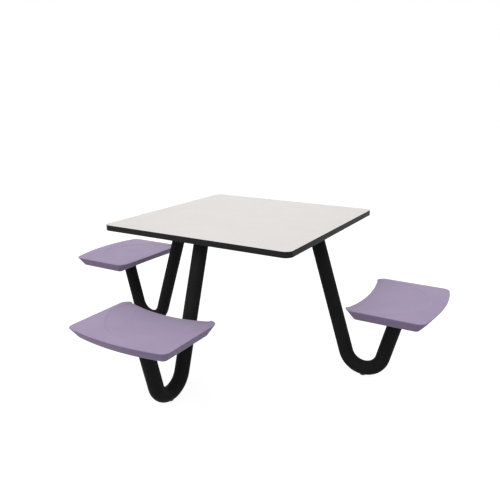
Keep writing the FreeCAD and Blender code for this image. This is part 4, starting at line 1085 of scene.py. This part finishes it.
def weldTree():
    # a bead of overlapping ripples along every line of the path
    graph, given = newTree("weldBead", {"path": None, **welds["shape"], "seed": 0,
                                        "material": finishes["black_powder_coat"]})
    line = graph.lineAlong(given.path, given.spacing)
    wave = graph.node("SplineParameter", output="Length") * (2 * math.pi) / given.pitch
    stray = graph.node("FunctionNodeRandomValue", {2: given.stray * -1.0, 3: given.stray, "Seed": given.seed},
                       output=1, data_type="FLOAT")
    thickness = given.bead * (1.0 + given.ripple * graph.maths("SINE", wave) + stray)
    ring = graph.node("CurvePrimitiveCircle", {"Resolution": given.ringSteps, "Radius": 1.0})
    bead = graph.node("CurveToMesh", {"Curve": line, "Profile Curve": ring, "Fill Caps": True,
                                      "Scale": thickness})
    return endTree(graph, bead, given.material)


def pathMesh(paths, matrix):
    points = []
    lines = []
    for own, edges in paths:
        lines += [(first + len(points), second + len(points)) for first, second in edges]
        points += own
    mesh = meshOf("weldPath", points, lines)
    mesh.transform(matrix)
    return mesh


beadTree = weldTree()


def weldsAlong(paths, matrix, bead, seed):
    return closeUp(grown(beadTree, {"bead": bead, "seed": seed}, pathMesh(paths, matrix)))


corner = leg["corner"]
tubeOvals = []
for end in ("top", "seat"):
    x, z = leg[end + "Reach"], leg[end + "Height"]
    slant = math.hypot(x - corner.x, z - corner.z) / abs(z - corner.z)
    tubeOvals.append(ovalPath(x, z, leg["radius"] * slant, leg["radius"], welds["ovalSteps"]))
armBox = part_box("frame_arm_rear")
armHalf = (armBox[1].x - armBox[0].x) / 2
armRun = (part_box("leg_plate_right")[0].x - tableCentre.x + welds["armStart"], leg["topReach"] - welds["armEnd"])
armEdges = [([(x, way * armHalf, plateBottom) for x in armRun], [(0, 1)]) for way in (-1, 1)]
frameBeads = []
for number, side in enumerate(sides):
    frameBeads.append(weldsAlong(tubeOvals, about(side), welds["shape"]["bead"], seed=51 + number))
    frameBeads.append(weldsAlong(armEdges, about(side), welds["armBead"], seed=61 + number))
    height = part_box("seat_bracket_" + side)[1].z - welds["sleeveDrop"]
    sleeve = ovalPath(0.0, height, welds["sleeveRadius"], welds["sleeveRadius"], welds["ovalSteps"])
    bead = weldsAlong([sleeve], about(side, spindles[side]), welds["sleeveBead"], seed=71 + number)
    placed("bracket_weld_" + side, bead, "seat_" + side, "black_powder_coat", [], smoothAngle=60.0)
placed("frame_weld_beads", joined("frameBeads", frameBeads), "root", "black_powder_coat", [], smoothAngle=60.0)
print("welds run")


studio = {
    "floorSize": 60.0,
    "floorShade": 0.42,
    "floorShown": 0.35,
    "floorGlow": 0.91,
    "skyLight": 0.315,
    "lens": 40.033,
    "sensor": 36.0,
    "farClip": 100.0,
    "place": (1.52817, -2.27899, 1.39896),
    "yaw": -30.4319,
    "pitch": -15.5209,
    "roll": -0.1382,
    "lampAim": (0.0, 0.1, 0.6),
    "lamps": {
        "backLeftPanel": {"place": (-1.6, 2.4, 4.2), "size": 2.6, "power": 54.0},
        "backRightPanel": {"place": (1.2, 1.5, 4.4), "size": 2.2, "power": 41.4},
        "frontPanel": {"place": (-0.3, -2.6, 4.2), "size": 2.2, "power": 50.0},
        "lowPanel": {"place": (0.8, -4.2, 2.4), "size": 2.2, "power": 23.0},
    },
}
white = shade(1.0, 1.0, 1.0)


def seenDirectly(graph):
    # 1 for the camera and for what it sees in metal or glass, 0 for light on its way
    path = graph.node("ShaderNodeLightPath", output="Is Camera Ray")
    return graph.maths("MAXIMUM", graph.maths("MAXIMUM", path, path.output("Is Glossy Ray")),
                      path.output("Is Transmission Ray"))


def floorFinish():
    # pale where it is seen, plain grey where it only passes light on
    finish = Finish("studio_floor")
    plain, pale = (finish.node("BsdfDiffuse", {"Color": shade(tone, tone, tone)})
                   for tone in (studio["floorShade"], studio["floorShown"]))
    glow = finish.node("Emission", {"Color": white, "Strength": studio["floorGlow"]})
    shown = finish.node("AddShader", {0: pale, 1: glow})
    floor = finish.node("MixShader", {0: seenDirectly(finish), 1: plain, 2: shown})
    finish.node("OutputMaterial", {"Surface": floor})
    return finish.material


def setFloor():
    half = studio["floorSize"] / 2
    mesh = meshOf("studioFloor", [(-half, -half, 0), (half, -half, 0), (half, half, 0), (-half, half, 0)],
                  faces=[(0, 1, 2, 3)])
    mesh.materials.append(floorFinish())
    linked("studio_floor", mesh)


def setWorld():
    # white where it is seen, dimmer as a light
    world = bpy.data.worlds.new("studio")
    world.use_nodes = True
    world.node_tree.nodes.clear()
    sky = Graph(world.node_tree)
    ambient, seen = (sky.node("Background", {"Color": white, "Strength": strength})
                     for strength in (studio["skyLight"], 1.0))
    both = sky.node("MixShader", {0: seenDirectly(sky), 1: ambient, 2: seen})
    sky.node("OutputWorld", {"Surface": both})
    bpy.context.scene.world = world


def setLamps():
    for name, lamp in studio["lamps"].items():
        data = bpy.data.lights.new(name, "AREA")
        data.shape = "SQUARE"
        data.size = lamp["size"]
        data.energy = lamp["power"]
        light = linked(name, data)
        light.location = lamp["place"]
        aim = Vector(studio["lampAim"]) - Vector(lamp["place"])
        light.rotation_euler = aim.to_track_quat("-Z", "Y").to_euler()


def setCamera():
    view = linked("camera", bpy.data.cameras.new("camera"))
    view.data.lens = studio["lens"]
    view.data.sensor_width = studio["sensor"]
    view.data.clip_end = studio["farClip"]
    view.location = studio["place"]
    turn = (Matrix.Rotation(-math.radians(studio["yaw"]), 4, "Z")
            @ Matrix.Rotation(math.radians(90 + studio["pitch"]), 4, "X")
            @ Matrix.Rotation(math.radians(studio["roll"]), 4, "Z"))
    view.rotation_euler = turn.to_euler()
    bpy.context.scene.camera = view


bpy.context.scene.view_settings.view_transform = "Standard"
setFloor()
setWorld()
setLamps()
setCamera()
print("studio lit")
